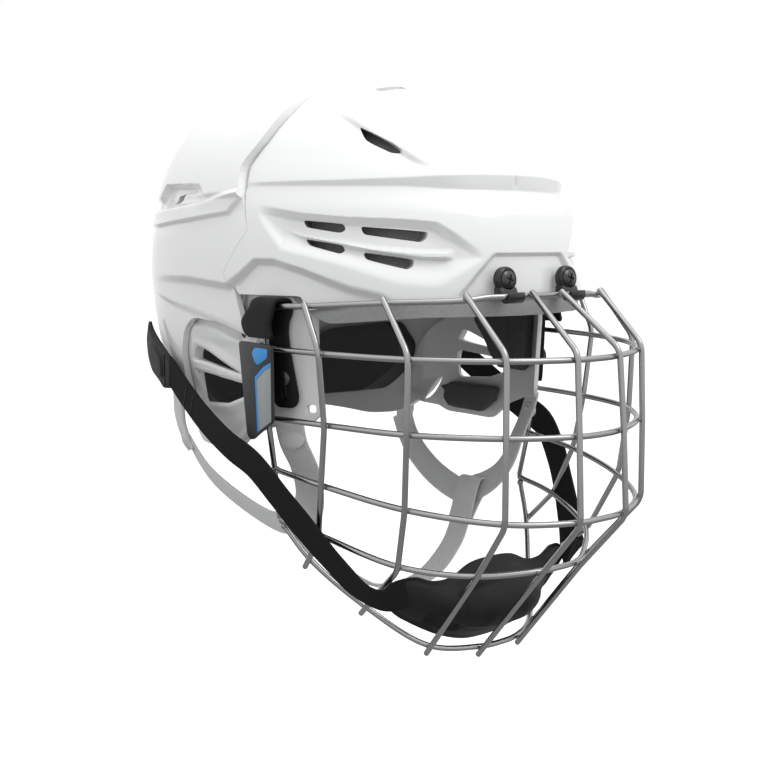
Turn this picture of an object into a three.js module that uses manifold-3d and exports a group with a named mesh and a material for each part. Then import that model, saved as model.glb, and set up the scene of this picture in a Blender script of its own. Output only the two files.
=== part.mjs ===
// Ice hockey helmet with a full wire face cage, as worn.
// Millimetres. +X is the wearer's left, -Y is where the face looks, +Z is up.
// The origin is the middle of the head opening, level with the cage's top bar.

import * as THREE from 'three';
import { mergeVertices } from 'three/addons/utils/BufferGeometryUtils.js';
import Module from 'manifold-3d';

const wasm = await Module();
wasm.setup();

// ---------------------------------------------------------------- driving dimensions

const SHELL = {
  halfWidth: 107, // widest half width, above the ears
  front: 149, // from the widest section forward to the forehead
  rear: 126, // from the widest section back to the nape
  widestY: 45, // where the widest section lies
  crown: 114, // height of the crown over the cage's top bar
  frontPower: 2.2, // roundness of the dome's profile, forehead
  rearPower: 2.75, // and nape
  wall: 3,
};
const TEMPLE_RECESS = 4.5; // how far the lower shell steps in below the crease
const SEAM_GAP = 0.6; // between the front and rear shell
const TONGUE_LENGTH = 24; // front shell reaching under the rear shell
const SIZE_TRAVEL = 8; // how far the rear shell slides out
const REAR_PROUD = 2.2; // its upper part stands this far over the front shell

const WIRE_RADIUS = 1.4;
const WIRE_SIDES = 8;
const TOUCH_GAP = 0.3; // between pieces that rest on each other
const BAR_INSIDE = -2.1; // cross bars lie inside the cage's surface
const UPRIGHT_OUTSIDE = 1.5; // and the uprights are welded on outside them

const TOP_BAR_Y = -109.6; // the cage turns about the straight middle of its top bar
const CLIP_X = 20.5; // the two clips that hold the bar
const CLIP_WIDTH = 11;

const EAR_GUARD_WALL = 3;
const HARNESS_WIDTH = 17;
const HARNESS_THICKNESS = 1.8;
const CHIN_STRAP_WIDTH = 19;
const CHIN_STRAP_THICKNESS = 1.6;

const LEFT = 1; // +X
const RIGHT = -1; // -X

// ---------------------------------------------------------------- finishes

const finish = (color, roughness, metalness = 0) => ({ color, roughness, metalness });
const WHITE_SHELL = finish(0xf4f5f6, 0.16);
const WHITE_PLASTIC = finish(0xdfe1e3, 0.4);
const DARK_FOAM = finish(0x1d1d1f, 0.9);
const GREY_FOAM = finish(0x8f9193, 0.85);
const BLACK_PLASTIC = finish(0x161618, 0.45);
const BLACK_RUBBER = finish(0x1a1a1b, 0.7);
const BLACK_WEBBING = finish(0x222223, 0.85);
const STEEL_WIRE = finish(0x8d9094, 0.35, 0.9);
const SCREW_STEEL = finish(0x6c6e70, 0.4, 0.8);
const WHITE_WEBBING = finish(0xc9cbcd, 0.75);
const GREY_LABEL = finish(0x6f7678, 0.5);

// ---------------------------------------------------------------- small helpers

const object = new THREE.Group();

function add(name, geometry, look) {
  const mesh = new THREE.Mesh(geometry, new THREE.MeshStandardMaterial(look));
  mesh.name = name;
  object.add(mesh);
  return mesh;
}

const vec = (x, y, z) => new THREE.Vector3(x, y, z);
const radians = THREE.MathUtils.degToRad;

/** Straight-line interpolation in a list of [key, value] rows with rising keys. */
function lookUp(rows, key) {
  if (key <= rows[0][0]) return rows[0][1];
  for (let i = 1; i < rows.length; i++) {
    const [k1, v1] = rows[i];
    const [k0, v0] = rows[i - 1];
    if (key <= k1) return v0 + ((v1 - v0) * (key - k0)) / (k1 - k0);
  }
  return rows[rows.length - 1][1];
}

/** 0 below a, 1 above b, smooth between. */
const smooth = (a, b, t) => THREE.MathUtils.smoothstep(t, a, b);

function toSolid(geometry) {
  const bare = geometry.index ? geometry.toNonIndexed() : geometry.clone();
  bare.deleteAttribute('normal');
  bare.deleteAttribute('uv');
  const merged = mergeVertices(bare, 1e-4);
  return new wasm.Manifold(new wasm.Mesh({
    numProp: 3,
    vertProperties: new Float32Array(merged.attributes.position.array),
    triVerts: new Uint32Array(merged.index.array),
  }));
}

function toGeometry(solid) {
  const mesh = solid.getMesh();
  const geometry = new THREE.BufferGeometry();
  geometry.setAttribute('position', new THREE.BufferAttribute(mesh.vertProperties, 3));
  geometry.setIndex(new THREE.BufferAttribute(mesh.triVerts, 1));
  return geometry;
}

/**
 * A closed solid skinned over rings of points, each ring going the same way round.
 * With mirrored set, the second half of each ring splits its quads the other way.
 */
function loft(rings, mirrored = false) {
  const count = rings[0].length;
  const points = rings.flat();
  const index = [];
  for (let r = 0; r + 1 < rings.length; r++) {
    for (let i = 0; i < count; i++) {
      const a = r * count + i;
      const b = r * count + ((i + 1) % count);
      if (mirrored && i >= count / 2) index.push(a, b, a + count, b, b + count, a + count);
      else index.push(a, b, b + count, a, b + count, a + count);
    }
  }
  const cap = (ring, flip) => {
    const start = ring * count;
    for (let i = 1; i + 1 < count; i++) {
      if (flip) index.push(start, start + i + 1, start + i);
      else index.push(start, start + i, start + i + 1);
    }
  };
  cap(0, true);
  cap(rings.length - 1, false);
  const geometry = new THREE.BufferGeometry().setFromPoints(points);
  geometry.setIndex(index);
  return outward(geometry);
}

/** Turns every face over when the solid's volume comes out negative. */
function outward(geometry) {
  const p = geometry.attributes.position;
  const index = geometry.index.array;
  const [a, b, c] = [vec(), vec(), vec()];
  let volume = 0;
  for (let i = 0; i < index.length; i += 3) {
    a.fromBufferAttribute(p, index[i]);
    b.fromBufferAttribute(p, index[i + 1]);
    c.fromBufferAttribute(p, index[i + 2]);
    volume += a.dot(b.cross(c));
  }
  if (volume < 0) {
    const turned = Array.from(index);
    for (let i = 0; i < turned.length; i += 3) {
      [turned[i + 1], turned[i + 2]] = [turned[i + 2], turned[i + 1]];
    }
    geometry.setIndex(turned);
  }
  return geometry;
}

/** Side-view outline [[y, z], ...] made into a bar along X from x0 to x1. */
function sidePrism(outline, x0, x1) {
  const shape = new THREE.Shape(outline.map(([y, z]) => new THREE.Vector2(y, z)));
  const geometry = new THREE.ExtrudeGeometry(shape, { depth: x1 - x0, bevelEnabled: false });
  const turn = new THREE.Matrix4().makeBasis(vec(0, 1, 0), vec(0, 0, 1), vec(1, 0, 0));
  return geometry.applyMatrix4(turn).translate(x0, 0, 0);
}

/** Front-view outline [[x, z], ...] made into a bar along Y from y0 to y1. */
function frontPrism(outline, y0, y1) {
  const shape = new THREE.Shape(outline.map(([x, z]) => new THREE.Vector2(x, z)));
  const geometry = new THREE.ExtrudeGeometry(shape, { depth: y1 - y0, bevelEnabled: false });
  const turn = new THREE.Matrix4().makeBasis(vec(1, 0, 0), vec(0, 0, 1), vec(0, -1, 0));
  return geometry.applyMatrix4(turn).translate(0, y1, 0);
}

function mirrorX(geometry, side) {
  if (side === LEFT) return geometry;
  const flipped = geometry.clone();
  flipped.scale(-1, 1, 1);
  if (!flipped.index) flipped.setIndex([...Array(flipped.attributes.position.count).keys()]);
  const index = Array.from(flipped.index.array);
  for (let i = 0; i < index.length; i += 3) [index[i + 1], index[i + 2]] = [index[i + 2], index[i + 1]];
  flipped.setIndex(index);
  flipped.deleteAttribute('normal');
  flipped.deleteAttribute('uv');
  return flipped;
}

/** Adds the same piece on both sides: build(LEFT) mirrored for the right. */
function addPair(name, geometry, look) {
  add(`${name}_left`, geometry, look);
  add(`${name}_right`, mirrorX(geometry, RIGHT), look);
}

// ---------------------------------------------------------------- shell surface

/** Height of the crease that runs round the lower shell, by angle from the face in degrees. */
const CREASE = [
  [0, -40], [22, -12], [30, 1], [36, 4], [47, 12.5], [55, 17], [61, 17], [66, 10], [71, 4.5],
  [88, 7], [124, 7.5], [180, 7],
];
/** The brow ledge: how far the front shell stands out at each height. */
const BROW_LEDGE = [[36, 0], [49.8, -1.8], [51.8, 1.6], [54.5, 1.6], [60, 0]];
/** The band round the rear shell, and the fuller cheek under it. */
const REAR_BAND = [[37, 0], [40.5, 2], [46, 2], [50, 0]];
const REAR_CHEEK = [[-34, 0], [-12, 1.6], [5, 2.6], [28, 2.2], [37, 0.4]];

function recess(angleDeg, z) {
  const depth = TEMPLE_RECESS * (smooth(22, 34, angleDeg) - 0.9 * smooth(80, 112, angleDeg));
  const edge = lookUp(CREASE, angleDeg);
  return depth * smooth(0, 5, edge - z);
}

/** Horizontal distance of the shell's surface from its centre line. */
function shellRadius(angle, z, inset, relief) {
  const { halfWidth, front, rear, crown, frontPower, rearPower } = SHELL;
  const across = Math.sin(angle) / (halfWidth - inset);
  const along = Math.cos(angle) / ((Math.cos(angle) > 0 ? front : rear) - inset);
  const back = (1 - Math.cos(angle)) / 2;
  const power = frontPower * (1 - back) + rearPower * back;
  const height = Math.min(Math.abs(z) / (crown - inset), 1);
  const base = Math.pow(1 - Math.pow(height, power), 1 / power) / Math.hypot(across, along);
  const angleDeg = Math.abs(THREE.MathUtils.radToDeg(Math.atan2(Math.sin(angle), Math.cos(angle))));
  return base - recess(angleDeg, z) + (relief ? relief(angleDeg, z) : 0);
}

const DOME_LEVELS = [-95, -60, -30, -12, -2, 7, 12, 17, 25, 33, 37, 41, 46, 50, 52, 55, 62, 72, 83, 93, 101, 107, 111];
const PLAIN_LEVELS = [-95, -60, -30, -10, 4, 18, 40, 60, 78, 91, 100, 106];
const UPPER_LEVELS = [48, 56, 66, 77, 88, 97, 104, 109.5];
const OUTER_STEPS = 44;
const INNER_STEPS = 32;
const plainDome = (inset) => dome(inset, null, PLAIN_LEVELS, INNER_STEPS);

/** The solid inside the shell surface, inset by a wall, down to the lowest level. */
function dome(inset, relief, levels, steps) {
  const top = SHELL.crown - inset;
  const rings = levels.filter((z) => z < top - 1.5).map((z) => {
    const ring = [];
    for (let i = 0; i < steps; i++) {
      const angle = (i / steps) * 2 * Math.PI;
      const r = shellRadius(angle, z, inset, relief);
      ring.push(vec(r * Math.sin(angle), SHELL.widestY - r * Math.cos(angle), z));
    }
    return ring;
  });
  const nearTop = top - 0.25;
  const cap = [];
  for (let i = 0; i < steps; i++) {
    const angle = (i / steps) * 2 * Math.PI;
    const r = shellRadius(angle, nearTop, inset, null);
    cap.push(vec(r * Math.sin(angle), SHELL.widestY - r * Math.cos(angle), nearTop));
  }
  rings.push(cap);
  return toSolid(loft(rings, true));
}

/** Seam between the front and rear shell in side view, from the crown down. */
const SEAM = [[26, 130], [22, 113], [8, 102], [3, 90], [3, 75], [7, 62], [3, 49], [-4, 31], [11, 10], [9, 3]];
const REAR_FRONT_EDGE = [[9, 3], [1.5, -21.5]];
/** Lower edge of the front shell, from the seam forward to the brow. */
const FRONT_EDGE = [[5, 0.6], [-33.6, 0.6], [-34, -15], [-46, -14.5], [-62, -12], [-85, -9.5], [-200, -9.5]];
/** Lower edge of the rear shell, from the nape forward, round the ear, to the seam. */
const REAR_EDGE = [[200, -80], [140, -82], [105, -88], [88, -86], [74, -74], [66, -54], [64, -35], [56.5, -21],
  [48, -14.5], [24, -16]];

const shift = (outline, dy) => outline.map(([y, z]) => [y + dy, z]);
const WIDE = 140; // half length of a cutter that spans the whole shell
const across = (outline) => toSolid(sidePrism(outline, -WIDE, WIDE));

const frontRegion = () => across([[-200, 130], ...shift(SEAM, -SEAM_GAP), ...FRONT_EDGE].reverse());
const rearRegion = () => across([...SEAM, REAR_FRONT_EDGE[1], ...[...REAR_EDGE].reverse(), [200, 130]]);

/** Vents: each a flat outline pushed straight through one wall. */
function ventCutters() {
  const cutters = [];
  const throughSide = (outline, x0, x1) => {
    cutters.push(toSolid(sidePrism(outline, x0, x1)));
    cutters.push(toSolid(sidePrism(outline, -x1, -x0)));
  };
  // four slots in the side recess, seen square from the side
  throughSide([[-34, 35], [-36, 32], [-54, 29.6], [-53, 33]], 60, 110);
  throughSide([[-62, 32.5], [-63, 29], [-85, 24.7], [-84.5, 28]], 36, 100);
  throughSide([[-37, 26], [-40, 23], [-55.5, 19.3], [-55, 22.7]], 60, 110);
  throughSide([[-64, 20.4], [-66, 16.7], [-82, 12.4], [-82, 16]], 36, 100);
  // rear vent
  throughSide([[45, 54], [60, 52.5], [72, 44], [61, 47.5]], 70, 120);
  // crown vents, pushed down from above
  for (const side of [LEFT, RIGHT]) {
    const crownVent = [[-55, -39], [-48, -62], [-52, -59], [-58, -46]].map(([x, y]) => [x * side, y]);
    const topVent = [[-30, -22], [-14, -24], [-14, -18], [-30, -16]].map(([x, y]) => [x * side, y]);
    for (const outline of [crownVent, topVent]) {
      const shape = new THREE.Shape(outline.map(([x, y]) => new THREE.Vector2(x, y)));
      const cut = new THREE.ExtrudeGeometry(shape, { depth: 80, bevelEnabled: false });
      cutters.push(toSolid(cut.translate(0, 0, 50)));
    }
  }
  return cutters;
}

function buildShells() {
  const browLedge = (angleDeg, z) => lookUp(BROW_LEDGE, z) * (1 - smooth(60, 68, angleDeg));
  const rearBand = (angleDeg, z) => lookUp(REAR_BAND, z) * smooth(60, 72, angleDeg)
    + lookUp(REAR_CHEEK, z) * smooth(85, 115, angleDeg);
  const inner = plainDome(SHELL.wall);
  const slid = (solid) => solid.translate([0, SIZE_TRAVEL, 0]);
  const tongueOuter = slid(plainDome(SHELL.wall + 0.6));
  const tongueInner = slid(plainDome(SHELL.wall + 2.8));
  const upper = (outline) => outline.filter(([, z]) => z > 2);
  const tongueArea = across([
    ...shift(upper(SEAM), -6),
    ...shift(upper(SEAM), TONGUE_LENGTH).reverse(),
  ]);
  const joggleArea = across([...shift(upper(SEAM), -6), ...shift(upper(SEAM), -SEAM_GAP).reverse()]);

  let front = dome(0, browLedge, DOME_LEVELS, OUTER_STEPS).subtract(inner).intersect(frontRegion());
  const joggle = plainDome(1).subtract(tongueInner).intersect(joggleArea);
  const tongue = tongueOuter.intersect(plainDome(SHELL.wall + 0.6)).subtract(tongueInner).intersect(tongueArea);
  front = front.add(joggle).add(tongue);
  // over the band the rear shell stands proud of the front one
  const proud = dome(-REAR_PROUD, null, UPPER_LEVELS, OUTER_STEPS);
  let rear = dome(0, rearBand, DOME_LEVELS, OUTER_STEPS).add(proud).subtract(inner).intersect(rearRegion());
  for (const cutter of ventCutters()) {
    front = front.subtract(cutter);
    rear = rear.subtract(cutter);
  }
  add('front_shell', toGeometry(front), WHITE_SHELL);
  add('rear_shell', toGeometry(rear), WHITE_SHELL);
}

// ---------------------------------------------------------------- foam inside the shells

function buildLiners() {
  const between = (outer, inner) => plainDome(outer).subtract(plainDome(inner));
  const browArea = [[-200, 40], [-20, 40], [-20, 0], [-60, -4], [-200, -4]];
  const crownArea = [[-60, 130], [-60, 66], [90, 66], [90, 130]];
  const rearArea = [[60, 60], [60, -6], [200, -6], [200, 60]];
  const napeArea = [[107, -28], [94, -43], [94, -56], [105, -72.5], [124, -75], [200, -75], [200, -47], [142, -44],
    [137, -33]];
  add('brow_liner', toGeometry(between(3.5, 14).intersect(across(browArea.reverse()))), GREY_FOAM);
  const crown = between(10, 19).intersect(across(crownArea.reverse()));
  add('crown_liner', toGeometry(crown), GREY_FOAM);
  add('rear_liner', toGeometry(between(3.5, 14).intersect(across(rearArea.reverse()))), GREY_FOAM);
  add('occipital_pad', toGeometry(between(3.5, 16).intersect(across(napeArea.reverse()))), DARK_FOAM);
}

// ---------------------------------------------------------------- ear guards

/** Ear guard's outer face in plan: distance from the middle at each y. */
const EAR_PLAN = [[-34.5, 74.5], [-32.5, 78.5], [-29, 83], [-24, 87.5], [-14, 91.7], [0, 95.3], [20, 97.6], [45, 97.6],
  [57, 96.4], [70, 93.5], [80, 90]];
const earFace = (y, z) => lookUp(EAR_PLAN, y) - 0.07 * Math.max(0, -20 - z);

/** A wall that follows the ear guard's face, from depth d0 to d1 inside it. */
function earSlab(d0, d1) {
  const ys = EAR_PLAN.map(([y]) => y);
  const rings = ys.map((y) => [-2, -20, -90].flatMap((z) => [vec(earFace(y, z) - d0, y, z)])
    .concat([-90, -20, -2].map((z) => vec(earFace(y, z) - d1, y, z))));
  return toSolid(loft(rings));
}

const EAR_OUTLINE = [[-34.2, -4.6], [-4, -4.6], [-2, -10], [12, -12], [14, -6], [40, -6], [50, -16], [60, -20],
  [76, -30], [79, -52], [72, -74], [60, -84], [20, -84], [6, -73], [-12, -66.5], [-29, -65], [-33.5, -59]];
const EAR_WINDOW_UPPER = [[51, -29.8], [55.5, -37.4], [11, -42]];
const EAR_WINDOW_LOWER = [[55.5, -43.6], [8, -46.9], [4.5, -48.8], [8, -53], [25, -58.8], [52, -61]];
const STRAP_SLOT = [[-31, -54.5], [-14, -56], [-14, -58.5], [-31, -57]];

function buildEarGuards() {
  const throughSide = (outline) => toSolid(sidePrism(outline, 60, 120));
  let guard = earSlab(0, EAR_GUARD_WALL).intersect(throughSide([...EAR_OUTLINE].reverse()));
  for (const opening of [EAR_WINDOW_UPPER, EAR_WINDOW_LOWER, STRAP_SLOT]) {
    guard = guard.subtract(throughSide([...opening]));
  }
  // the guard's back reaches inside the rear shell, clear of its wall wherever the shell slides to
  const band = dome(-6, null, PLAIN_LEVELS, INNER_STEPS).subtract(plainDome(SHELL.wall + 0.9));
  const reach = toSolid(sidePrism([[-1, 8], [-1, -22.5], [23, -17.5], [47, -16], [54.5, -23], [61, -36], [62.5, -54],
    [70.5, -75.5], [86, -88], [92, -88], [92, 8]], 40, 140));
  const swept = band.intersect(reach);
  for (const part of [0, 0.25, 0.5, 0.75, 1]) {
    guard = guard.subtract(swept.translate([0, part * SIZE_TRAVEL, 0]));
  }
  guard = guard.decompose().sort((a, b) => b.volume() - a.volume())[0];
  addPair('ear_guard', toGeometry(guard), WHITE_PLASTIC);

  const inside = EAR_GUARD_WALL + 0.4;
  const lowerPad = [[10, -62], [52, -62.5], [60, -66], [58, -76], [52, -81], [24, -81], [12, -72]];
  const pad = earSlab(inside, inside + 8).intersect(throughSide([...lowerPad]));
  addPair('ear_pad', toGeometry(pad), DARK_FOAM);
  const templePad = [[-21, -10], [35, -10], [35, -23], [20, -40], [9, -52], [-17, -51], [-20.5, -46]];
  const temple = earSlab(inside, inside + 9).intersect(throughSide([...templePad]));
  addPair('temple_pad', toGeometry(temple), DARK_FOAM);
}

// ---------------------------------------------------------------- wires

/** A path through given sample points, which an extrusion visits one by one. */
class Route extends THREE.Curve {
  constructor(points) {
    super();
    this.points = points;
  }

  getPoint(t, target = vec()) {
    const place = t * (this.points.length - 1);
    const i = Math.min(Math.floor(place), this.points.length - 2);
    return target.lerpVectors(this.points[i], this.points[i + 1], place - i);
  }

  getPointAt(t, target) {
    return this.getPoint(t, target);
  }

  getTangentAt(t, target) {
    return this.getTangent(t, target);
  }
}

/** Straight runs between corners, each inner corner rounded to a radius. */
function bentRoute(corners, radius, arcSteps = 2) {
  const samples = [corners[0]];
  for (let i = 1; i + 1 < corners.length; i++) {
    const back = vec().subVectors(corners[i - 1], corners[i]);
    const ahead = vec().subVectors(corners[i + 1], corners[i]);
    const reach = Math.min(radius, back.length() * 0.45, ahead.length() * 0.45);
    const start = corners[i].clone().addScaledVector(back.normalize(), reach);
    const end = corners[i].clone().addScaledVector(ahead.normalize(), reach);
    const corner = new THREE.QuadraticBezierCurve3(start, corners[i], end);
    samples.push(...corner.getPoints(arcSteps));
  }
  samples.push(corners[corners.length - 1]);
  return samples;
}

function wire(samples) {
  const section = new THREE.Shape();
  for (let i = 0; i < WIRE_SIDES; i++) {
    const turn = ((i + 0.5) / WIRE_SIDES) * 2 * Math.PI;
    const [u, v] = [WIRE_RADIUS * Math.cos(turn), WIRE_RADIUS * Math.sin(turn)];
    if (i === 0) section.moveTo(u, v);
    else section.lineTo(u, v);
  }
  section.closePath();
  return new THREE.ExtrudeGeometry(section, {
    steps: samples.length - 1,
    bevelEnabled: false,
    extrudePath: new Route(samples),
  });
}

/** Half of a bar, from the middle to the wearer's left, made whole by mirroring. */
function wholeBar(half) {
  const right = half.filter((p) => p.x > 0.01).map((p) => vec(-p.x, p.y, p.z)).reverse();
  return [...right, ...half];
}

/** A smooth half bar through its crossings, first point on the middle plane. */
function smoothHalf(crossings, steps) {
  const mirrored = crossings[1].clone();
  mirrored.x *= -1;
  const curve = new THREE.CatmullRomCurve3([mirrored, ...crossings], false, 'centripetal');
  const first = 1 / crossings.length;
  const samples = [];
  for (let i = 0; i <= steps; i++) samples.push(curve.getPoint(first + (1 - first) * (i / steps)));
  samples[0].x = 0;
  return samples;
}

// The cage's surface, wearer's left: where each row of bars meets the middle plane, uprights 4, 3,
// 2, 1 and the side edge. Rows run from the top bar to the chin.
const GRID = {
  top: [[0, -111.4, 0], [9.9, -111.4, 0], [44.6, -104.2, -0.4], [73, -80.4, -1.9], [92.4, -46.5, -4.8], [97, -14, -6]],
  bar_2: [[0, -144.8, -26.5], [13.8, -143.5, -26.5], [44.8, -130.7, -26.5], [74.9, -100.4, -26.5],
    [92.1, -56.8, -26.5], [96.5, -14, -26.5]],
  bar_3: [[0, -147.6, -61.7], [14.6, -146.3, -61.5], [45.4, -131.9, -61.2], [74.6, -99.4, -61],
    [87.9, -55.4, -61], [94, -13.4, -61.5]],
  bar_4: [[0, -149.8, -101], [15, -148.6, -100.9], [45.6, -132.4, -100.3], [72.4, -95.4, -96.8],
    [86.2, -49.9, -91.5], [89.6, -12, -88.4]],
  bar_5: [[0, -124, -130.4], [13.2, -122.7, -130.4], [38.7, -105.6, -132.2], [65.4, -81.4, -128.3],
    [81.1, -39.9, -119], [85.2, -9.5, -115.4]],
  chin: [[0, -84, -179.4], [13.4, -82.8, -179], [36.5, -70, -177], [59, -46, -158.5], [78, -24.6, -135.4],
    [85, -9.6, -117]],
};
const rowNames = Object.keys(GRID);
const onGrid = (row, column) => vec(...GRID[rowNames[row]][column]);

/** A grid crossing moved along the surface's outward normal. */
function crossing(row, column, out) {
  const here = onGrid(row, column);
  const last = GRID.top.length - 1;
  const right = column === 0 ? onGrid(row, 1).multiply(vec(-1, 1, 1)) : onGrid(row, column - 1);
  const alongRow = onGrid(row, Math.min(column + 1, last)).sub(right);
  const down = onGrid(Math.min(row + 1, rowNames.length - 1), column);
  const alongColumn = down.sub(onGrid(Math.max(row - 1, 0), column));
  const normal = vec().crossVectors(alongRow, alongColumn).normalize();
  if (normal.dot(vec(here.x, here.y + 20, Math.min(here.z + 80, 0))) < 0) normal.negate();
  return here.addScaledVector(normal, out);
}

const BAR_SHORT = WIRE_RADIUS * 2 + TOUCH_GAP + 0.15; // bars stop short of the edge wire they meet

function buildBars() {
  // the top bar and both side edges are one wire, bent down behind the temples
  const middle = [vec(0, TOP_BAR_Y, 0), vec(26, TOP_BAR_Y, 0)];
  const swept = [vec(34, TOP_BAR_Y + 2.6, -0.2), crossing(0, 2, BAR_INSIDE), crossing(0, 3, BAR_INSIDE),
    crossing(0, 4, BAR_INSIDE + 0.6), vec(96, -27, -5.8)];
  const curve = new THREE.CatmullRomCurve3([middle[1], ...swept], false, 'centripetal').getPoints(10);
  const stop = onGrid(4, 5).lerp(onGrid(3, 5), 0.04);
  const corners = [curve[10], onGrid(0, 5), onGrid(1, 5), onGrid(2, 5), onGrid(3, 5), stop];
  add('cage_top_bar', wire(wholeBar([middle[0], ...curve, ...bentRoute(corners, 7).slice(1)])), STEEL_WIRE);

  for (let row = 1; row <= 4; row++) {
    const half = [0, 1, 2, 3].map((column) => crossing(row, column, BAR_INSIDE));
    half.push(crossing(row, 4, BAR_INSIDE + 0.9));
    const end = onGrid(row, 5);
    end.addScaledVector(vec().subVectors(half[4], end).normalize(), BAR_SHORT);
    half.push(end);
    add(`cage_${rowNames[row]}`, wire(wholeBar(smoothHalf(half, 9))), STEEL_WIRE);
  }

  const chin = [0, 1, 2, 3, 4].map((column) => crossing(5, column, BAR_INSIDE));
  chin.push(onGrid(4, 5).lerp(onGrid(5, 4), 0.16));
  add('cage_chin_bar', wire(wholeBar(smoothHalf(chin, 10))), STEEL_WIRE);
}

const TOP_OVERHANG = 1; // uprights end just above the top bar
const CHIN_OVERHANG = 3.2; // and run on past the chin bar

function buildUprights() {
  for (let number = 1; number <= 4; number++) {
    const column = 5 - number;
    const out = UPRIGHT_OUTSIDE + (number === 1 ? 0.8 : 0);
    const corners = [0, 1, 2, 3, 4, 5].map((row) => crossing(row, column, row ? out : out + 0.3));
    corners[1].z += 2; // bent just above the second bar
    const [head, foot] = [corners[0], corners[5]];
    head.addScaledVector(vec().subVectors(head, corners[1]).normalize(), TOP_OVERHANG);
    foot.addScaledVector(vec().subVectors(foot, corners[4]).normalize(), CHIN_OVERHANG);
    addPair(`cage_upright_${number}`, wire(bentRoute(corners, 4.5)), STEEL_WIRE);
  }
}

// ---------------------------------------------------------------- clips and side loops

function buildClips() {
  const [y, z] = [TOP_BAR_Y, 0];
  const arc = (radius, from, to, steps) => {
    const points = [];
    for (let i = 0; i <= steps; i++) {
      const turn = radians(from + ((to - from) * i) / steps);
      points.push([y + radius * Math.cos(turn), z + radius * Math.sin(turn)]);
    }
    return points;
  };
  const boreRadius = WIRE_RADIUS + 0.4;
  const [inner, outer] = [-104.4, -107.2];
  const profile = [[inner, 12], [inner, -0.4], ...arc(3.9, -10, -200, 9), ...arc(boreRadius, -200, 40, 9),
    [outer, 3.6], [outer, 12]];
  const clip = sidePrism(profile.reverse(), CLIP_X - CLIP_WIDTH / 2, CLIP_X + CLIP_WIDTH / 2);
  addPair('cage_clip', clip, BLACK_PLASTIC);
  const head = new THREE.CylinderGeometry(4, 4.4, 2.2, 16).translate(CLIP_X, outer - TOUCH_GAP - 1.1, 8);
  addPair('clip_screw', head, SCREW_STEEL);
}

const LOOP_WALL = 2.3;
const LOOP_GAP = 0.45;
const LOOP_TOP = -1.4; // height of the loop over the top bar
const FLAP_X = 99; // the flap's inner face, and the line it bends about
const LOOP_BASE = [[-14.5, -1], [-27, -1], [-24.8, -14], [-25.2, -34], [-27, -50], [-25.5, -54], [-16, -55.5],
  [-14.5, -52]];
/** Outline of the flap's outer wall in side view. */
const LOOP_FLAP = [[0.3, -13.5], [-8.5, -4], [-13, -1.4], [-31, -1.4], [-32.5, -3.4], [-26.8, -9], [-25.8, -14.5],
  [-27.5, -21.6], [-7, -21.6], [-2, -18.5]];

function buildSideLoops() {
  const hung = earSlab(-LOOP_GAP - LOOP_WALL, -LOOP_GAP).intersect(toSolid(sidePrism([...LOOP_BASE], 60, 120)));
  const over = toSolid(frontPrism([[88, -3.5], [88, LOOP_TOP], [FLAP_X - TOUCH_GAP, LOOP_TOP],
    [FLAP_X - TOUCH_GAP, -3.5]], -31, -13));
  const base = hung.add(over).intersect(toSolid(sidePrism([[-10, -60], [-40, -60], [-40, LOOP_TOP], [-10, LOOP_TOP]],
    80, 120)));
  addPair('loop_base', toGeometry(base), BLACK_RUBBER);
  // the flap turns over the top bar, hangs down outside it and lifts outwards
  addPair('loop_flap', sidePrism([...LOOP_FLAP], FLAP_X, FLAP_X + LOOP_WALL), BLACK_RUBBER);

  const [back, front] = [-15, -26];
  const lean = Math.atan2(earFace(back, -42) - earFace(front, -42), back - front);
  const screw = new THREE.CylinderGeometry(4.2, 4.2, 1.3, 16).rotateZ(Math.PI / 2 - lean);
  const middle = vec(earFace(-20.5, -42), -20.5, -42);
  middle.addScaledVector(vec(Math.cos(lean), -Math.sin(lean), 0), LOOP_WALL + 2 * TOUCH_GAP + 0.9);
  addPair('loop_screw', screw.translate(middle.x, middle.y, middle.z), SCREW_STEEL);
}

// ---------------------------------------------------------------- label plate on the cage

function buildLabelPlate() {
  const outline = [[2.5, -24], [-27.5, -24.2], [-28, -61.5], [-17.5, -67.5], [-8.5, -73], [-4.5, -71]];
  const plate = sidePrism([...outline].reverse(), 99, 101);
  add('label_plate', mirrorX(plate, RIGHT), GREY_LABEL);
}

// ---------------------------------------------------------------- straps

/** A flat strap: stations of [x, y, z, nx, ny, nz], the normal facing away from the head. */
function strap(stations, width, thickness, steps) {
  const centre = new THREE.CatmullRomCurve3(stations.map((s) => vec(s[0], s[1], s[2])), false, 'centripetal');
  const facing = new THREE.CatmullRomCurve3(stations.map((s) => vec(s[3], s[4], s[5])), false, 'centripetal');
  const rings = [];
  for (let i = 0; i <= steps; i++) {
    const t = i / steps;
    const p = centre.getPoint(t);
    const ahead = centre.getTangent(t);
    const side = vec().crossVectors(ahead, facing.getPoint(t)).normalize();
    const out = vec().crossVectors(side, ahead).normalize();
    const corner = (w, d) => p.clone().addScaledVector(side, w * width / 2).addScaledVector(out, d * thickness / 2);
    rings.push([corner(-1, -1), corner(1, -1), corner(1, 1), corner(-1, 1)]);
  }
  return loft(rings);
}

const HARNESS = [
  [105, 62.5, -49, 1, 0, -0.1], [105.6, 50, -56, 1, 0, -0.1], [106, 30, -66.5, 1, 0, -0.1],
  [105.2, 6, -77, 1, -0.05, -0.15], [102.4, -13, -84.5, 0.95, -0.2, -0.2], [97, -28, -99, 0.9, -0.25, -0.3],
  [91, -39, -112, 0.85, -0.3, -0.35], [82, -53, -129.5, 0.7, -0.35, -0.6], [73.4, -63.6, -142.2, 0.5, -0.45, -0.7],
  [66.6, -71.6, -145.8, 0.5, -0.6, -0.6], [59.5, -75.5, -143.5, 0.6, -0.7, -0.3],
];
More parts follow.
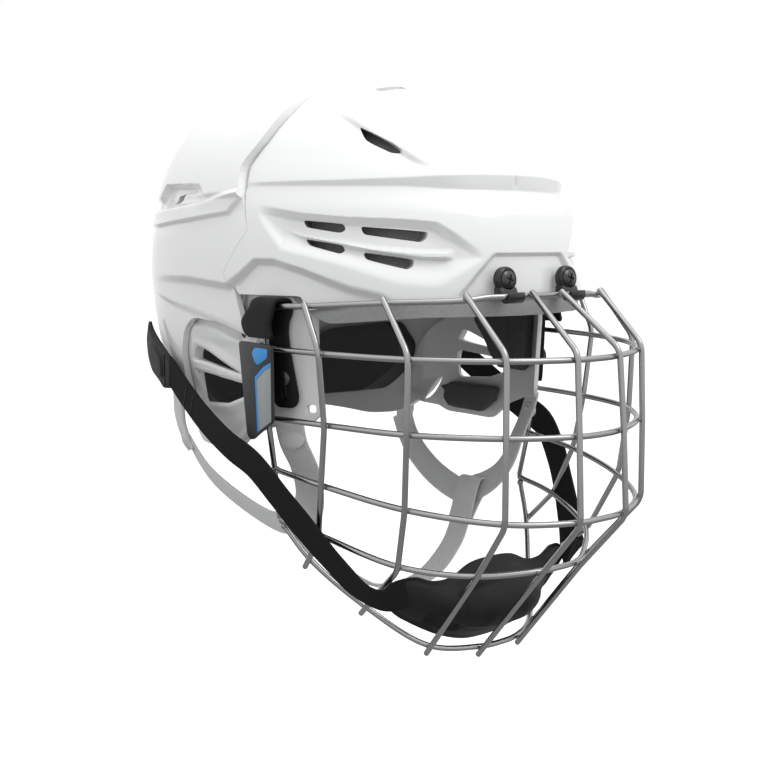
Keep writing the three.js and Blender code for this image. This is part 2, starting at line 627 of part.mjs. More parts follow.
/** The snap tab's inner face in plan, and its outline in side view. */
const TAB_PLAN = [[65.8, 103.6], [75, 103.2], [85, 102.2], [95, 100.8], [109, 98.6]];
const TAB_OUTLINE = [[102, -18.5], [97, -24], [88.5, -28.5], [73, -36], [66.2, -39.5], [68, -54.5], [80, -55.5],
  [85, -52.5], [99, -47.5], [105, -40], [107, -30]];

function buildHarness() {
  addPair('harness_strap', strap(HARNESS, HARNESS_WIDTH, HARNESS_THICKNESS, 24), BLACK_WEBBING);
  // the snap tab on the back end of the strap, fastened over the shell's side
  const slab = loft(TAB_PLAN.map(([y, x]) => [vec(x, y, -60), vec(x + 2.6, y, -60), vec(x + 2.6, y, -10), vec(x, y, -10)]));
  const tab = toSolid(slab).intersect(toSolid(sidePrism(TAB_OUTLINE, 80, 120)));
  addPair('harness_snap', toGeometry(tab), BLACK_PLASTIC);
}

const FRONT_STRAP = [
  [81.9, -18, -54, 0.92, -0.39, 0.05], [81.2, -17.8, -66, 0.92, -0.39, 0], [79.6, -17.4, -76, 0.92, -0.39, -0.15],
  [75.5, -17.5, -88, 0.9, -0.38, -0.3], [71, -15.5, -101, 0.9, -0.35, -0.35], [67.5, -9, -112, 0.9, -0.3, -0.4],
  [65.8, -2, -117.5, 0.9, -0.2, -0.4],
];
const REAR_STRAP = [
  [80, 97, -89, 0.9, 0.3, -0.3], [77.5, 88, -100.5, 0.9, 0.15, -0.4], [75, 77, -109.5, 0.9, 0.1, -0.4],
  [70, 52, -120.5, 0.9, 0, -0.45], [66.3, 25, -126.5, 0.9, 0, -0.45],
];
const CHIN_STRAP_HALF = [
  [0, -4, -168, 0, -0.1, -1], [20, -3, -164.5, 0.3, -0.1, -1], [42, 2, -151, 0.7, -0.1, -0.7],
  [57, 8, -136, 0.85, -0.1, -0.5],
];

function buildChinStraps() {
  const size = [CHIN_STRAP_WIDTH, CHIN_STRAP_THICKNESS];
  addPair('chin_strap_front', strap(FRONT_STRAP, ...size, 10), WHITE_WEBBING);
  addPair('chin_strap_rear', strap(REAR_STRAP, ...size, 8), WHITE_WEBBING);
  const other = CHIN_STRAP_HALF.slice(1).map(([x, y, z, nx, ny, nz]) => [-x, y, z, -nx, ny, nz]).reverse();
  add('chin_strap_lower', strap([...other, ...CHIN_STRAP_HALF], ...size, 20), WHITE_WEBBING);
  // the keeper where the straps of one side meet
  const keeper = new THREE.BoxGeometry(6, 22, 16).rotateX(radians(-25)).rotateY(radians(-25));
  addPair('strap_keeper', keeper.translate(62.5, 11.5, -125.5), WHITE_PLASTIC);
  const snap = new THREE.CylinderGeometry(5.2, 5.8, 2.4, 16).rotateZ(-Math.PI / 2).rotateZ(radians(-23));
  addPair('strap_snap', snap.translate(83.7, -18.9, -73), WHITE_PLASTIC);
}

// ---------------------------------------------------------------- chin cup

/** The cup's section at each distance x from the middle: top edge, bottom edge, forward bulge. */
const CUP = [
  { x: 0, top: [-72, -134], bottom: [-68, -178.5], bulge: 24 },
  { x: 14, top: [-72.5, -135], bottom: [-68, -177.5], bulge: 22 },
  { x: 27, top: [-73, -140.5], bottom: [-66.5, -173.5], bulge: 15 },
  { x: 38, top: [-72.5, -140.5], bottom: [-65.5, -168], bulge: 8.5 },
  { x: 48, top: [-71.5, -137], bottom: [-64.5, -162], bulge: 6 },
  { x: 60, top: [-67, -138.5], bottom: [-63.5, -154], bulge: 4 },
];

function cupPoint(column, t) {
  const place = Math.abs(column);
  const { x, top, bottom, bulge } = CUP[Math.min(place, CUP.length - 1)];
  const y = top[0] + (bottom[0] - top[0]) * t - bulge * Math.sin(Math.PI * t);
  return vec(Math.sign(column) * x, y, top[1] + (bottom[1] - top[1]) * t);
}

/** A wall following the cup, from depth d0 to d1 behind its front face. */
function cupWall(d0, d1, margin) {
  const rows = 6;
  const rim = CUP.length - 1;
  const rings = [];
  for (let column = -rim + margin; column <= rim - margin; column++) {
    const points = [];
    for (let row = 0; row <= rows; row++) {
      const t = 0.04 + (0.92 * row) / rows;
      const along = cupPoint(Math.min(column + 1, rim), t).sub(cupPoint(Math.max(column - 1, -rim), t));
      const down = cupPoint(column, t + 0.04).sub(cupPoint(column, t - 0.04));
      const inward = vec().crossVectors(along, down).normalize();
      if (inward.y < 0) inward.negate();
      points.push({ at: cupPoint(column, t), inward });
    }
    const face = (depth) => points.map(({ at, inward }) => at.clone().addScaledVector(inward, depth));
    rings.push([...face(d0), ...face(d1).reverse()]);
  }
  return loft(rings);
}

function buildChinCup() {
  add('chin_cup', cupWall(0, 2.4, 0), BLACK_PLASTIC);
  add('chin_pad', cupWall(2.4 + 1.2, 8, 1), DARK_FOAM);
}

// ---------------------------------------------------------------- the object

buildShells();
buildLiners();
buildEarGuards();
buildBars();
buildUprights();
buildClips();
buildSideLoops();
buildLabelPlate();
buildHarness();
buildChinStraps();
buildChinCup();

export default object;
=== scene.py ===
"""Ice hockey helmet with a full wire face cage, as worn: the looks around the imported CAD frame.

Shapes are worked out in millimetres and turned into metres when a mesh is made.
+X is the wearer's left, -Y is where the face looks, +Z is up.
"""

import math

import bmesh
import bpy
import numpy as np
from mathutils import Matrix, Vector


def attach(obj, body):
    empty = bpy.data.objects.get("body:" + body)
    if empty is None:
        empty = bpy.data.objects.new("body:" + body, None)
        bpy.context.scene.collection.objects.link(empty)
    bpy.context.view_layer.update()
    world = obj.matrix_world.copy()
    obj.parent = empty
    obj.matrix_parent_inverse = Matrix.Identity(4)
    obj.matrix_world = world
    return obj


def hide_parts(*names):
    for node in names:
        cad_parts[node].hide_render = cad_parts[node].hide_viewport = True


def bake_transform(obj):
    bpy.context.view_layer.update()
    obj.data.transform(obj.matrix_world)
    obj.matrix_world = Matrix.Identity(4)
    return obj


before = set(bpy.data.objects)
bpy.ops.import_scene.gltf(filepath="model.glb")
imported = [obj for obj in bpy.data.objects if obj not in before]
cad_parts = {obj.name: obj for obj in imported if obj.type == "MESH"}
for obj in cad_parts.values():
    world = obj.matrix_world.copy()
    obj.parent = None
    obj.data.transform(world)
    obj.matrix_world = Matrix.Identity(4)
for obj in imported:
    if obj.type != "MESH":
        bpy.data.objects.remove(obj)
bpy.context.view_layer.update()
scene = bpy.context.scene

MM = 0.001
LEFT, RIGHT = 1, -1
SIDES = (("left", LEFT), ("right", RIGHT))

# ---------------------------------------------------------------- camera, light and floor

CAMERA_AT = (-0.3795, -0.4749, 0.0243)
CAMERA_BACK = (-0.6084, -0.7834, 0.1269)
FLOOR_Z = -0.42
# the sky is white at eye level, brighter overhead and dimmer from below
SKY_PEAK = 1.32
BELOW_LIGHT = 0.45


def set_camera():
    data = bpy.data.cameras.new("camera")
    data.sensor_width = 36
    data.lens = 51.56
    camera = bpy.data.objects.new("camera", data)
    camera.location = CAMERA_AT
    camera.rotation_euler = (-Vector(CAMERA_BACK)).to_track_quat("-Z", "Y").to_euler()
    scene.collection.objects.link(camera)
    scene.camera = camera


def area_light(name, at, size, power):
    data = bpy.data.lights.new(name, "AREA")
    data.shape = "DISK"
    data.size = size
    data.energy = power
    lamp = bpy.data.objects.new(name, data)
    lamp.location = at
    lamp.rotation_euler = (-Vector(at)).to_track_quat("-Z", "Y").to_euler()
    scene.collection.objects.link(lamp)


def set_studio():
    world = bpy.data.worlds.new("studio")
    world.use_nodes = True
    tree = world.node_tree
    direction = tree.nodes.new("ShaderNodeTexCoord")
    parts = tree.nodes.new("ShaderNodeSeparateXYZ")
    ramp = tree.nodes.new("ShaderNodeFloatCurve")
    curve = ramp.mapping.curves[0]
    curve.points[0].location = (0, BELOW_LIGHT / SKY_PEAK)
    curve.points[1].location = (1, 1)
    for height, strength in ((0.38, BELOW_LIGHT), (0.46, 1.0), (0.62, 1.0), (0.8, SKY_PEAK)):
        curve.points.new(height, strength / SKY_PEAK).handle_type = "VECTOR"
    ramp.mapping.update()
    height = tree.nodes.new("ShaderNodeMapRange")
    height.inputs["From Min"].default_value = -1
    strength = tree.nodes.new("ShaderNodeMath")
    strength.operation = "MULTIPLY"
    strength.inputs[1].default_value = SKY_PEAK
    tree.links.new(direction.outputs["Generated"], parts.inputs[0])
    tree.links.new(parts.outputs["Z"], height.inputs["Value"])
    tree.links.new(height.outputs["Result"], ramp.inputs["Value"])
    tree.links.new(ramp.outputs["Value"], strength.inputs[0])
    background = tree.nodes["Background"]
    background.inputs["Color"].default_value = (1, 1, 1, 1)
    tree.links.new(strength.outputs[0], background.inputs["Strength"])
    scene.world = world
    scene.view_settings.view_transform = "Standard"
    area_light("key", (0.3, -1.1, 1.3), 0.9, 7)
    area_light("top", (0.0, -0.2, 1.7), 1.0, 4)
    mesh = bpy.data.meshes.new("floor")
    half = 6
    corners = [(-half, -half), (half, -half), (half, half), (-half, half)]
    mesh.from_pydata([(x, y, FLOOR_Z) for x, y in corners], [], [(0, 1, 2, 3)])
    floor = bpy.data.objects.new("floor", mesh)
    scene.collection.objects.link(floor)
    mesh.materials.append(finish("pale_floor", (0.93, 0.93, 0.93), rough=(0.7, 0.8), tint=0.01, grain=40))
    floor.visible_diffuse = False
    floor.visible_glossy = False


# ---------------------------------------------------------------- materials

finishes = {}


class Nodes:
    """A short way to build a material's node tree."""

    def __init__(self, name):
        self.material = bpy.data.materials.new(name)
        self.material.use_nodes = True
        self.tree = self.material.node_tree
        self.shader = self.tree.nodes["Principled BSDF"]

    def make(self, kind, **values):
        node = self.tree.nodes.new(kind)
        for key, value in values.items():
            if hasattr(node, key) and key not in node.inputs:
                setattr(node, key, value)
            else:
                self.feed(node.inputs[key], value)
        return node

    def feed(self, socket, value):
        if isinstance(value, bpy.types.NodeSocket):
            self.tree.links.new(value, socket)
        else:
            socket.default_value = value

    def math(self, operation, a, b=0.0):
        node = self.tree.nodes.new("ShaderNodeMath")
        node.operation = operation
        self.feed(node.inputs[0], a)
        self.feed(node.inputs[1], b)
        return node.outputs[0]

    def span(self, value, low, high):
        """Maps a 0 to 1 value onto low to high."""
        node = self.make("ShaderNodeMapRange")
        self.feed(node.inputs["Value"], value)
        node.inputs["To Min"].default_value = low
        node.inputs["To Max"].default_value = high
        return node.outputs["Result"]

    def mix(self, factor, a, b):
        node = self.make("ShaderNodeMix", data_type="RGBA")
        self.feed(node.inputs[0], factor)
        self.feed(node.inputs[6], a)
        self.feed(node.inputs[7], b)
        return node.outputs[2]

    def noise(self, scale, detail=3.0, where=None):
        node = self.make("ShaderNodeTexNoise")
        node.inputs["Scale"].default_value = scale
        node.inputs["Detail"].default_value = detail
        self.tree.links.new(where or self.place(), node.inputs["Vector"])
        return node.outputs["Fac"]

    def place(self):
        return self.make("ShaderNodeTexCoord").outputs["Object"]

    def bump(self, height, strength, distance=0.0002):
        node = self.make("ShaderNodeBump")
        node.inputs["Strength"].default_value = strength
        node.inputs["Distance"].default_value = distance
        self.tree.links.new(height, node.inputs["Height"])
        self.tree.links.new(node.outputs["Normal"], self.shader.inputs["Normal"])

    def constants(self, **values):
        for key, value in values.items():
            self.shader.inputs[key.replace("_", " ")].default_value = value


def shade(color, factor):
    return tuple(min(1.0, channel * factor) for channel in color) + (1,)


def finish(name, color, rough, tint=0.06, grain=300, bump=0.05, metal=0.0, specular=0.5, coat=0.0, fine=2200,
           sheen=0.0):
    """A moulded, foamed or metal finish: mottled colour, uneven gloss and a fine surface grain."""
    if name in finishes:
        return finishes[name]
    n = Nodes(name)
    broad = n.noise(grain)
    small = n.noise(fine, 2.0)
    n.feed(n.shader.inputs["Base Color"], n.mix(broad, shade(color, 1 - tint), shade(color, 1 + tint)))
    n.feed(n.shader.inputs["Roughness"], n.span(n.noise(grain * 0.4), rough[0], rough[1]))
    n.bump(n.math("ADD", n.math("MULTIPLY", broad, 0.4), small), bump)
    n.constants(Metallic=metal, Specular_IOR_Level=specular, Coat_Weight=coat, Coat_Roughness=0.06,
                Sheen_Weight=sheen)
    finishes[name] = n.material
    return n.material


def foam(name, color, cell=700, specular=0.2):
    """Closed-cell foam: tiny beads with darker seams between them."""
    if name in finishes:
        return finishes[name]
    n = Nodes(name)
    cells = n.make("ShaderNodeTexVoronoi", feature="F1")
    cells.inputs["Scale"].default_value = cell
    n.tree.links.new(n.place(), cells.inputs["Vector"])
    distance = cells.outputs["Distance"]
    patch = n.math("MULTIPLY", n.noise(120), 0.4)
    n.feed(n.shader.inputs["Base Color"], n.mix(n.math("ADD", n.math("MULTIPLY", distance, 0.6), patch),
                                                shade(color, 1.15), shade(color, 0.85)))
    n.feed(n.shader.inputs["Roughness"], n.span(distance, 0.85, 0.98))
    n.bump(n.math("SUBTRACT", 1.0, distance), 0.35, 0.0003)
    n.constants(Specular_IOR_Level=specular)
    finishes[name] = n.material
    return n.material


def webbing(name, color, specular=0.25, sheen=0.15, contrast=0.16):
    """Flat woven strap: a herringbone weave that follows the strap."""
    if name in finishes:
        return finishes[name]
    n = Nodes(name)
    along = n.make("ShaderNodeAttribute", attribute_name="along").outputs["Fac"]
    over = n.make("ShaderNodeAttribute", attribute_name="across").outputs["Fac"]
    zigzag = n.math("PINGPONG", over, 2.2)
    twill = n.math("SINE", n.math("MULTIPLY", n.math("ADD", along, zigzag), 2 * math.pi / 1.5))
    threads = n.math("SINE", n.math("MULTIPLY", over, 2 * math.pi / 0.9))
    weave = n.math("ADD", n.math("MULTIPLY", twill, 0.35), n.math("MULTIPLY", threads, 0.15))
    weave = n.math("ADD", weave, 0.5)
    worn = n.math("ADD", n.math("MULTIPLY", weave, 0.7), n.math("MULTIPLY", n.noise(90), 0.3))
    dark, light = shade(color, 1 - contrast), shade(color, 1 + contrast)
    n.feed(n.shader.inputs["Base Color"], n.mix(worn, dark, light))
    n.feed(n.shader.inputs["Roughness"], n.span(weave, 0.7, 0.9))
    n.bump(weave, 0.5, 0.0004)
    n.constants(Specular_IOR_Level=specular, Sheen_Weight=sheen)
    finishes[name] = n.material
    return n.material


def drawn_wire(name, color):
    """Bright drawn steel: fine lines along the wire and slightly uneven gloss."""
    if name in finishes:
        return finishes[name]
    n = Nodes(name)
    along = n.make("ShaderNodeAttribute", attribute_name="along").outputs["Fac"]
    over = n.make("ShaderNodeAttribute", attribute_name="across").outputs["Fac"]
    stretched = n.make("ShaderNodeCombineXYZ")
    n.tree.links.new(n.math("MULTIPLY", along, 0.02), stretched.inputs[0])
    n.tree.links.new(over, stretched.inputs[1])
    lines = n.noise(3.0, 4.0, stretched.outputs[0])
    broad = n.noise(60)
    n.feed(n.shader.inputs["Base Color"], n.mix(lines, shade(color, 0.86), shade(color, 1.12)))
    uneven = n.math("MULTIPLY", n.math("ADD", lines, broad), 0.5)
    n.feed(n.shader.inputs["Roughness"], n.span(uneven, 0.18, 0.34))
    n.bump(lines, 0.12, 0.0001)
    n.constants(Metallic=1.0)
    finishes[name] = n.material
    return n.material


GLOSS_WHITE = (0.74, 0.745, 0.75)
SATIN_WHITE = (0.62, 0.625, 0.63)
LOOKS = {
    "shell": lambda: finish("gloss_white_shell", GLOSS_WHITE, (0.13, 0.22), tint=0.012, grain=25,
                            bump=0.015, coat=0.35, fine=900),
    "ear_guard_plastic": lambda: finish("satin_white_moulding", SATIN_WHITE, (0.32, 0.45), tint=0.02,
                                        grain=60, bump=0.06),
    "foam_black": lambda: foam("black_foam", (0.075, 0.075, 0.077)),
    "foam_grey": lambda: foam("grey_foam", (0.31, 0.313, 0.317), cell=900),
    "wire": lambda: drawn_wire("drawn_steel", (0.35, 0.352, 0.355)),
    "clip_plastic": lambda: finish("black_nylon", (0.009, 0.009, 0.0095), (0.14, 0.26), tint=0.2),
    "screw_steel": lambda: finish("dark_plated_steel", (0.07, 0.071, 0.074), (0.18, 0.32), tint=0.15,
                                  metal=0.9, grain=200),
    "loop_rubber": lambda: finish("black_rubber", (0.007, 0.007, 0.007), (0.5, 0.65), tint=0.2,
                                  grain=150, bump=0.12, specular=0.16),
    "harness_webbing": lambda: webbing("black_webbing", (0.013, 0.013, 0.0135), specular=0.1, sheen=0.0),
    "chin_webbing": lambda: webbing("grey_webbing", (0.58, 0.585, 0.59), contrast=0.08),
    "keeper_plastic": lambda: finish("pale_grey_moulding", (0.5, 0.503, 0.506), (0.35, 0.5), tint=0.03,
                                     grain=90),
    "cup_plastic": lambda: finish("black_cup", (0.011, 0.011, 0.0115), (0.45, 0.6), tint=0.15, grain=90,
                                  bump=0.08, specular=0.2),
    "label": lambda: finish("charcoal_plate", (0.029, 0.03, 0.0315), (0.35, 0.5), tint=0.08, specular=0.3),
}


# ---------------------------------------------------------------- maths

def ramp(a, b, t):
    """0 below a, 1 above b, straight between."""
    return np.clip((np.asarray(t, float) - a) / (b - a), 0, 1)


def smooth(a, b, t):
    """0 below a, 1 above b, smooth between."""
    s = np.clip((np.asarray(t, float) - a) / (b - a), 0, 1)
    return s * s * (3 - 2 * s)


def look_up(rows, key):
    """Straight-line interpolation in (key, value) rows with rising keys."""
    keys, values = zip(*rows)
    return np.interp(key, keys, values)


def unit(v):
    v = np.asarray(v, float)
    return v / np.linalg.norm(v, axis=-1, keepdims=True)


def through(points, samples):
    """A centripetal Catmull-Rom curve through points, as evenly spread parameters."""
    p = np.asarray(points, float)
    p = np.vstack([2 * p[0] - p[1], p, 2 * p[-1] - p[-2]])
    out = []
    spans = len(p) - 3
    for s in np.linspace(0, spans, samples):
        i = min(int(s), spans - 1)
        p0, p1, p2, p3 = p[i:i + 4]
        t0 = 0.0
        t1 = t0 + max(np.linalg.norm(p1 - p0), 1e-6) ** 0.5
        t2 = t1 + max(np.linalg.norm(p2 - p1), 1e-6) ** 0.5
        t3 = t2 + max(np.linalg.norm(p3 - p2), 1e-6) ** 0.5
        t = t1 + (t2 - t1) * (s - i)
        a1 = (t1 - t) / (t1 - t0) * p0 + (t - t0) / (t1 - t0) * p1
        a2 = (t2 - t) / (t2 - t1) * p1 + (t - t1) / (t2 - t1) * p2
        a3 = (t3 - t) / (t3 - t2) * p2 + (t - t2) / (t3 - t2) * p3
        b1 = (t2 - t) / (t2 - t0) * a1 + (t - t0) / (t2 - t0) * a2
        b2 = (t3 - t) / (t3 - t1) * a2 + (t - t1) / (t3 - t1) * a3
        out.append((t2 - t) / (t2 - t1) * b1 + (t - t1) / (t2 - t1) * b2)
    return np.array(out)


def rounded(corners, radius, steps=5, closed=True):
    """An outline with each corner rounded to about a radius."""
    c = [np.asarray(p, float) for p in corners]
    out = []
    for i, here in enumerate(c):
        if not closed and i in (0, len(c) - 1):
            out.append(here)
            continue
        back, ahead = c[i - 1] - here, c[(i + 1) % len(c)] - here
        reach = min(radius, np.linalg.norm(back) * 0.45, np.linalg.norm(ahead) * 0.45)
        start, end = here + unit(back) * reach, here + unit(ahead) * reach
        for t in np.linspace(0, 1, steps + 1):
            out.append((1 - t) ** 2 * start + 2 * t * (1 - t) * here + t * t * end)
    return np.array(out)


# ---------------------------------------------------------------- meshes

def new_object(name, verts, faces, attributes=None):
    mesh = bpy.data.meshes.new(name)
    mesh.from_pydata((np.asarray(verts, float) * MM).tolist(), [], [list(map(int, f)) for f in faces])
    for key, values in (attributes or {}).items():
        layer = mesh.attributes.new(key, "FLOAT", "POINT")
        layer.data.foreach_set("value", np.asarray(values, np.float32))
    mesh.update()
    obj = bpy.data.objects.new(name, mesh)
    scene.collection.objects.link(obj)
    return obj


def recalculate(obj):
    """Turns every face outwards."""
    bm = bmesh.new()
    bm.from_mesh(obj.data)
    bmesh.ops.recalc_face_normals(bm, faces=bm.faces)
    bm.to_mesh(obj.data)
    bm.free()
    return obj


def apply_modifiers(obj):
    bpy.context.view_layer.update()
    evaluated = obj.evaluated_get(bpy.context.evaluated_depsgraph_get())
    mesh = bpy.data.meshes.new_from_object(evaluated)
    obj.modifiers.clear()
    old = obj.data
    obj.data = mesh
    mesh.name = obj.name
    bpy.data.meshes.remove(old)
    return obj


def cut(obj, cutters, operation="DIFFERENCE"):
    """Booleans obj with each cutter, which is used up."""
    for cutter in cutters:
        modifier = obj.modifiers.new("cut", "BOOLEAN")
        modifier.operation = operation
        modifier.solver = "MANIFOLD"
        modifier.object = cutter
    apply_modifiers(obj)
    for cutter in cutters:
        bpy.data.objects.remove(cutter)
    return obj


def soften(obj, width, segments=2, angle=35):
    """Rounds every edge sharper than an angle."""
    modifier = obj.modifiers.new("soften", "BEVEL")
    modifier.width = width * MM
    modifier.segments = segments
    modifier.limit_method = "ANGLE"
    modifier.angle_limit = math.radians(angle)
    return apply_modifiers(obj)


def smooth_shading(obj, angle=40):
    obj.data.shade_smooth()
    obj.data.set_sharp_from_angle(angle=math.radians(angle))
    return obj


def place(obj, slot, body=None, replaces=(), angle=40, look=None):
    """Gives a finished piece its finish and its body, and hides the CAD nodes that it stands for."""
    smooth_shading(obj, angle)
    obj.data.materials.clear()
    obj.data.materials.append(look or LOOKS[slot]())
    if replaces:
        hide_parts(*replaces)
    if body:
        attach(obj, body)
    return obj


def mirror(points, side):
    p = np.array(points, float)
    p[..., 0] *= side
    return p


def grid_faces(rows, columns, wrap=False):
    faces = []
    for r in range(rows - 1):
        for c in range(columns if wrap else columns - 1):
            a, b = r * columns + c, r * columns + (c + 1) % columns
            faces.append((a, b, b + columns, a + columns))
    return faces


def skin(name, rings, attributes=None):
    """A closed solid over rings that all go the same way round, with flat ends."""
    rings = np.asarray(rings, float)
    rows, columns = rings.shape[:2]
    faces = grid_faces(rows, columns, wrap=True)
    faces.append(tuple(range(columns))[::-1])
    faces.append(tuple(range((rows - 1) * columns, rows * columns)))
    return recalculate(new_object(name, rings.reshape(-1, 3), faces, attributes))


def prism_x(name, outline, x0, x1):
    """A side-view (y, z) outline made into a bar along X."""
    outline = np.asarray(outline, float)
    rings = [[(x, y, z) for y, z in outline] for x in (x0, x1)]
    return skin(name, rings)


def slab(name, front, back):
    """A wall between two point grids of the same size."""
    front, back = np.asarray(front, float), np.asarray(back, float)
    rings = np.concatenate([front, back[:, ::-1]], axis=1)
    return skin(name, rings)


def join(name, pieces):
    """Several closed parts that make up one piece."""
    bm = bmesh.new()
    for piece in pieces:
        bm.from_mesh(piece.data)
    mesh = bpy.data.meshes.new(name)
    bm.to_mesh(mesh)
    bm.free()
    for piece in pieces:
        bpy.data.objects.remove(piece)
    obj = bpy.data.objects.new(name, mesh)
    scene.collection.objects.link(obj)
    return obj


def turned(name, profile, at, axis, squeeze=1.0, segments=40, up=(0, 0, 1)):
    """A turned piece: (radius, height) rows along its axis; squeeze flattens it along up."""
    axis = unit(axis)
    side = unit(np.cross(up, axis))
    top = np.cross(axis, side)
    rings = []
    for radius, height in profile:
        ring = []
        for i in range(segments):
            turn = 2 * math.pi * i / segments
            ring.append(np.asarray(at) + axis * height + side * radius * math.cos(turn)
                        + top * radius * squeeze * math.sin(turn))
        rings.append(ring)
    return skin(name, rings)


def tube(name, points, radius, sides=16, ends=0.45):
    """A round wire along points, with softened ends."""
    p = np.asarray(points, float)
    ahead = unit(np.gradient(p, axis=0))
    up = np.array([0, 0, 1.0]) if abs(ahead[0][2]) < 0.9 else np.array([0, 1.0, 0])
    side = unit(np.cross(up, ahead[0]))
    turn = np.arange(sides) * 2 * math.pi / sides
    length = np.concatenate([[0], np.cumsum(np.linalg.norm(np.diff(p, axis=0), axis=1))])
    rings, along = [], []
    for i, here in enumerate(p):
        side = unit(side - ahead[i] * side.dot(ahead[i]))
        top = np.cross(ahead[i], side)
        circle = np.cos(turn)[:, None] * side + np.sin(turn)[:, None] * top
        wanted = [(radius, 0.0)]
        if i == 0:
            wanted = [(radius - ends, -ends), (radius - ends * 0.3, -ends * 0.75), (radius, 0.0)]
        elif i == len(p) - 1:
            wanted = [(radius, 0.0), (radius - ends * 0.3, ends * 0.75), (radius - ends, ends)]
        for r, shift in wanted:
            rings.append(here + circle * r + ahead[i] * shift)
            along.append(length[i] + shift)
    across = np.tile(np.abs(turn - math.pi) * radius, len(rings))
    return skin(name, rings, {"along": np.repeat(along, sides), "across": across})


def ribbon(name, centre, out, width, thickness):
    """A flat strap with rounded edges along centre, facing out; width is one number or one per point."""
    centre, out = np.asarray(centre, float), np.asarray(out, float)
    ahead = unit(np.gradient(centre, axis=0))
    side = unit(np.cross(ahead, out))
    out = np.cross(side, ahead)
    half = np.broadcast_to(np.asarray(width, float) / 2, (len(centre),))
    t = thickness / 2
    section = [(-1, 0, 0), (-1, 0.35, 0.75), (-1, 1.1, 1), (0, -2, 1), (0, 0, 1), (0, 2, 1), (1, -1.1, 1),
               (1, -0.35, 0.75), (1, 0, 0)]
    section += [(e, w, -h) for e, w, h in reversed(section[1:-1])]
    length = np.concatenate([[0], np.cumsum(np.linalg.norm(np.diff(centre, axis=0), axis=1))])
    rings, along, over = [], [], []
    for i, here in enumerate(centre):
        ring = []
        for edge, inset, height in section:
            across = edge * half[i] + inset
            ring.append(here + side[i] * across + out[i] * t * height)
            over.append(across + 40)
            along.append(length[i])
        rings.append(ring)
    return skin(name, rings, {"along": along, "across": over})


# ---------------------------------------------------------------- the shell's surface

HALF_WIDTH, FRONT, REAR, WIDEST_Y, CROWN = 107.0, 149.0, 126.0, 45.0, 114.0
FRONT_POWER, REAR_POWER = 2.2, 2.75
WALL = 3.0
TEMPLE_RECESS = 4.5
SEAM_GAP = 0.9
REAR_PROUD = 2.2

# Lines on the shell: height by angle from the face, in degrees.
CREASE = [(0, -40), (22, -12), (30, 1), (36, 4), (47, 12.5), (55, 17), (61, 17), (66, 10), (71, 4.5),
          (88, 7), (124, 7.5), (180, 7)]
SCOOP_TOP = [(11, 20), (13.5, 24), (16, 28.6), (19.5, 34.1), (26, 35.5), (37, 36.5), (48, 38.6),
             (60.4, 42.9)]
SCOOP_FLOOR = [(11, 17), (18, 6), (20, 3.9), (27, 5.2), (32, 9.3), (38, 13.8), (45, 17.5), (53, 21),
               (60.4, 38)]
FIN_TOP = [(16, 21.7), (23, 21.7), (31, 23.3), (38.5, 26.6), (48, 29.7), (53, 31.4)]
FIN_FLOOR = [(16, 16.2), (23, 16.7), (31, 19.4), (38.5, 22.6), (48, 26.4), (53, 30.6)]
CROWN_LIP = [(16, 57.5), (20.7, 63.2), (24.1, 68.6), (33.2, 81.2), (35.7, 84.5), (45, 93.1)]
BAND_TOP = [(60, 52), (64, 51.3), (72, 48.8), (83, 45.3), (97, 43.5), (120, 41.5), (180, 41.5)]
BAND_FLOOR = [(60, 51), (64, 50), (69, 41.7), (71, 38.3), (89, 35.3), (111, 32.7), (180, 32)]
REAR_SCOOP_TOP = [(80, 46), (86.2, 54.8), (112, 56.5), (119, 44)]
CHEEK_RIM = [(60, -22), (66, -20.5), (74, -16), (94, -9), (113, -2.7), (125, 2)]
REAR_CREASE = [(38, 82.5), (43.7, 81.5), (51, 79.1), (64, 77.8), (74, 76.9), (88, 72.2), (100, 62)]
# The ledge over the brow, and how far the cheek stands out, by height.
LEDGE_TOP = [(0, 56.6), (9, 56.6), (17, 55.8), (25, 54.8), (39, 54), (60, 54)]
LEDGE_FLOOR = [(0, 49.3), (12, 49.3), (17, 49.8), (25, 50.8), (39, 51.2), (60, 52.2)]
LEDGE_DEPTH = [(0, 5.0), (17, 4.4), (25, 3.0), (39, 2.0), (62, 1.0)]
REAR_CHEEK = [(-34, 0), (-12, 1.6), (5, 2.6), (28, 2.2), (37, 0.4)]

SIDE_SLOTS = [
    [(47.8, 35.2), (47.0, 31.9), (38.5, 29.1), (37.2, 30.5), (37.8, 33.3)],
    [(34.0, 32.1), (33.4, 28.4), (21.8, 24.7), (20.7, 26.8), (20.4, 29.5)],
    [(47.0, 26.2), (45.8, 23.3), (38.4, 19.3), (37.3, 20.8), (38.0, 23.3)],
    [(33.5, 20.1), (33.1, 16.9), (24.8, 12.1), (23.6, 14), (23.4, 16.7)],
]
CROWN_SLOT = [(33.6, 80.6), (32.2, 73.3), (26.2, 66.6), (23.9, 66.6), (24.0, 68.4)]
REAR_SLOT = [(104, 44.6), (102.5, 49), (96.8, 50.3), (99.4, 45.4)]
TOP_SLOT = [(-30, -22), (-14, -24), (-14, -18), (-30, -16)]  # seen from above, x and y


def base_radius(angle, z, inset):
    across = np.sin(angle) / (HALF_WIDTH - inset)
    along = np.cos(angle) / (np.where(np.cos(angle) > 0, FRONT, REAR) - inset)
    back = (1 - np.cos(angle)) / 2
    power = FRONT_POWER * (1 - back) + REAR_POWER * back
    height = np.minimum(np.abs(z) / (CROWN - inset), 1)
    return (1 - height ** power) ** (1 / power) / np.hypot(across, along)


def degrees_from_face(angle):
    return np.abs(np.degrees(np.arctan2(np.sin(angle), np.cos(angle))))


def temple_recess(a, z):
    depth = TEMPLE_RECESS * (smooth(22, 34, a) - 0.9 * smooth(80, 112, a))
    return depth * ramp(0, 3.6, look_up(CREASE, a) - z)


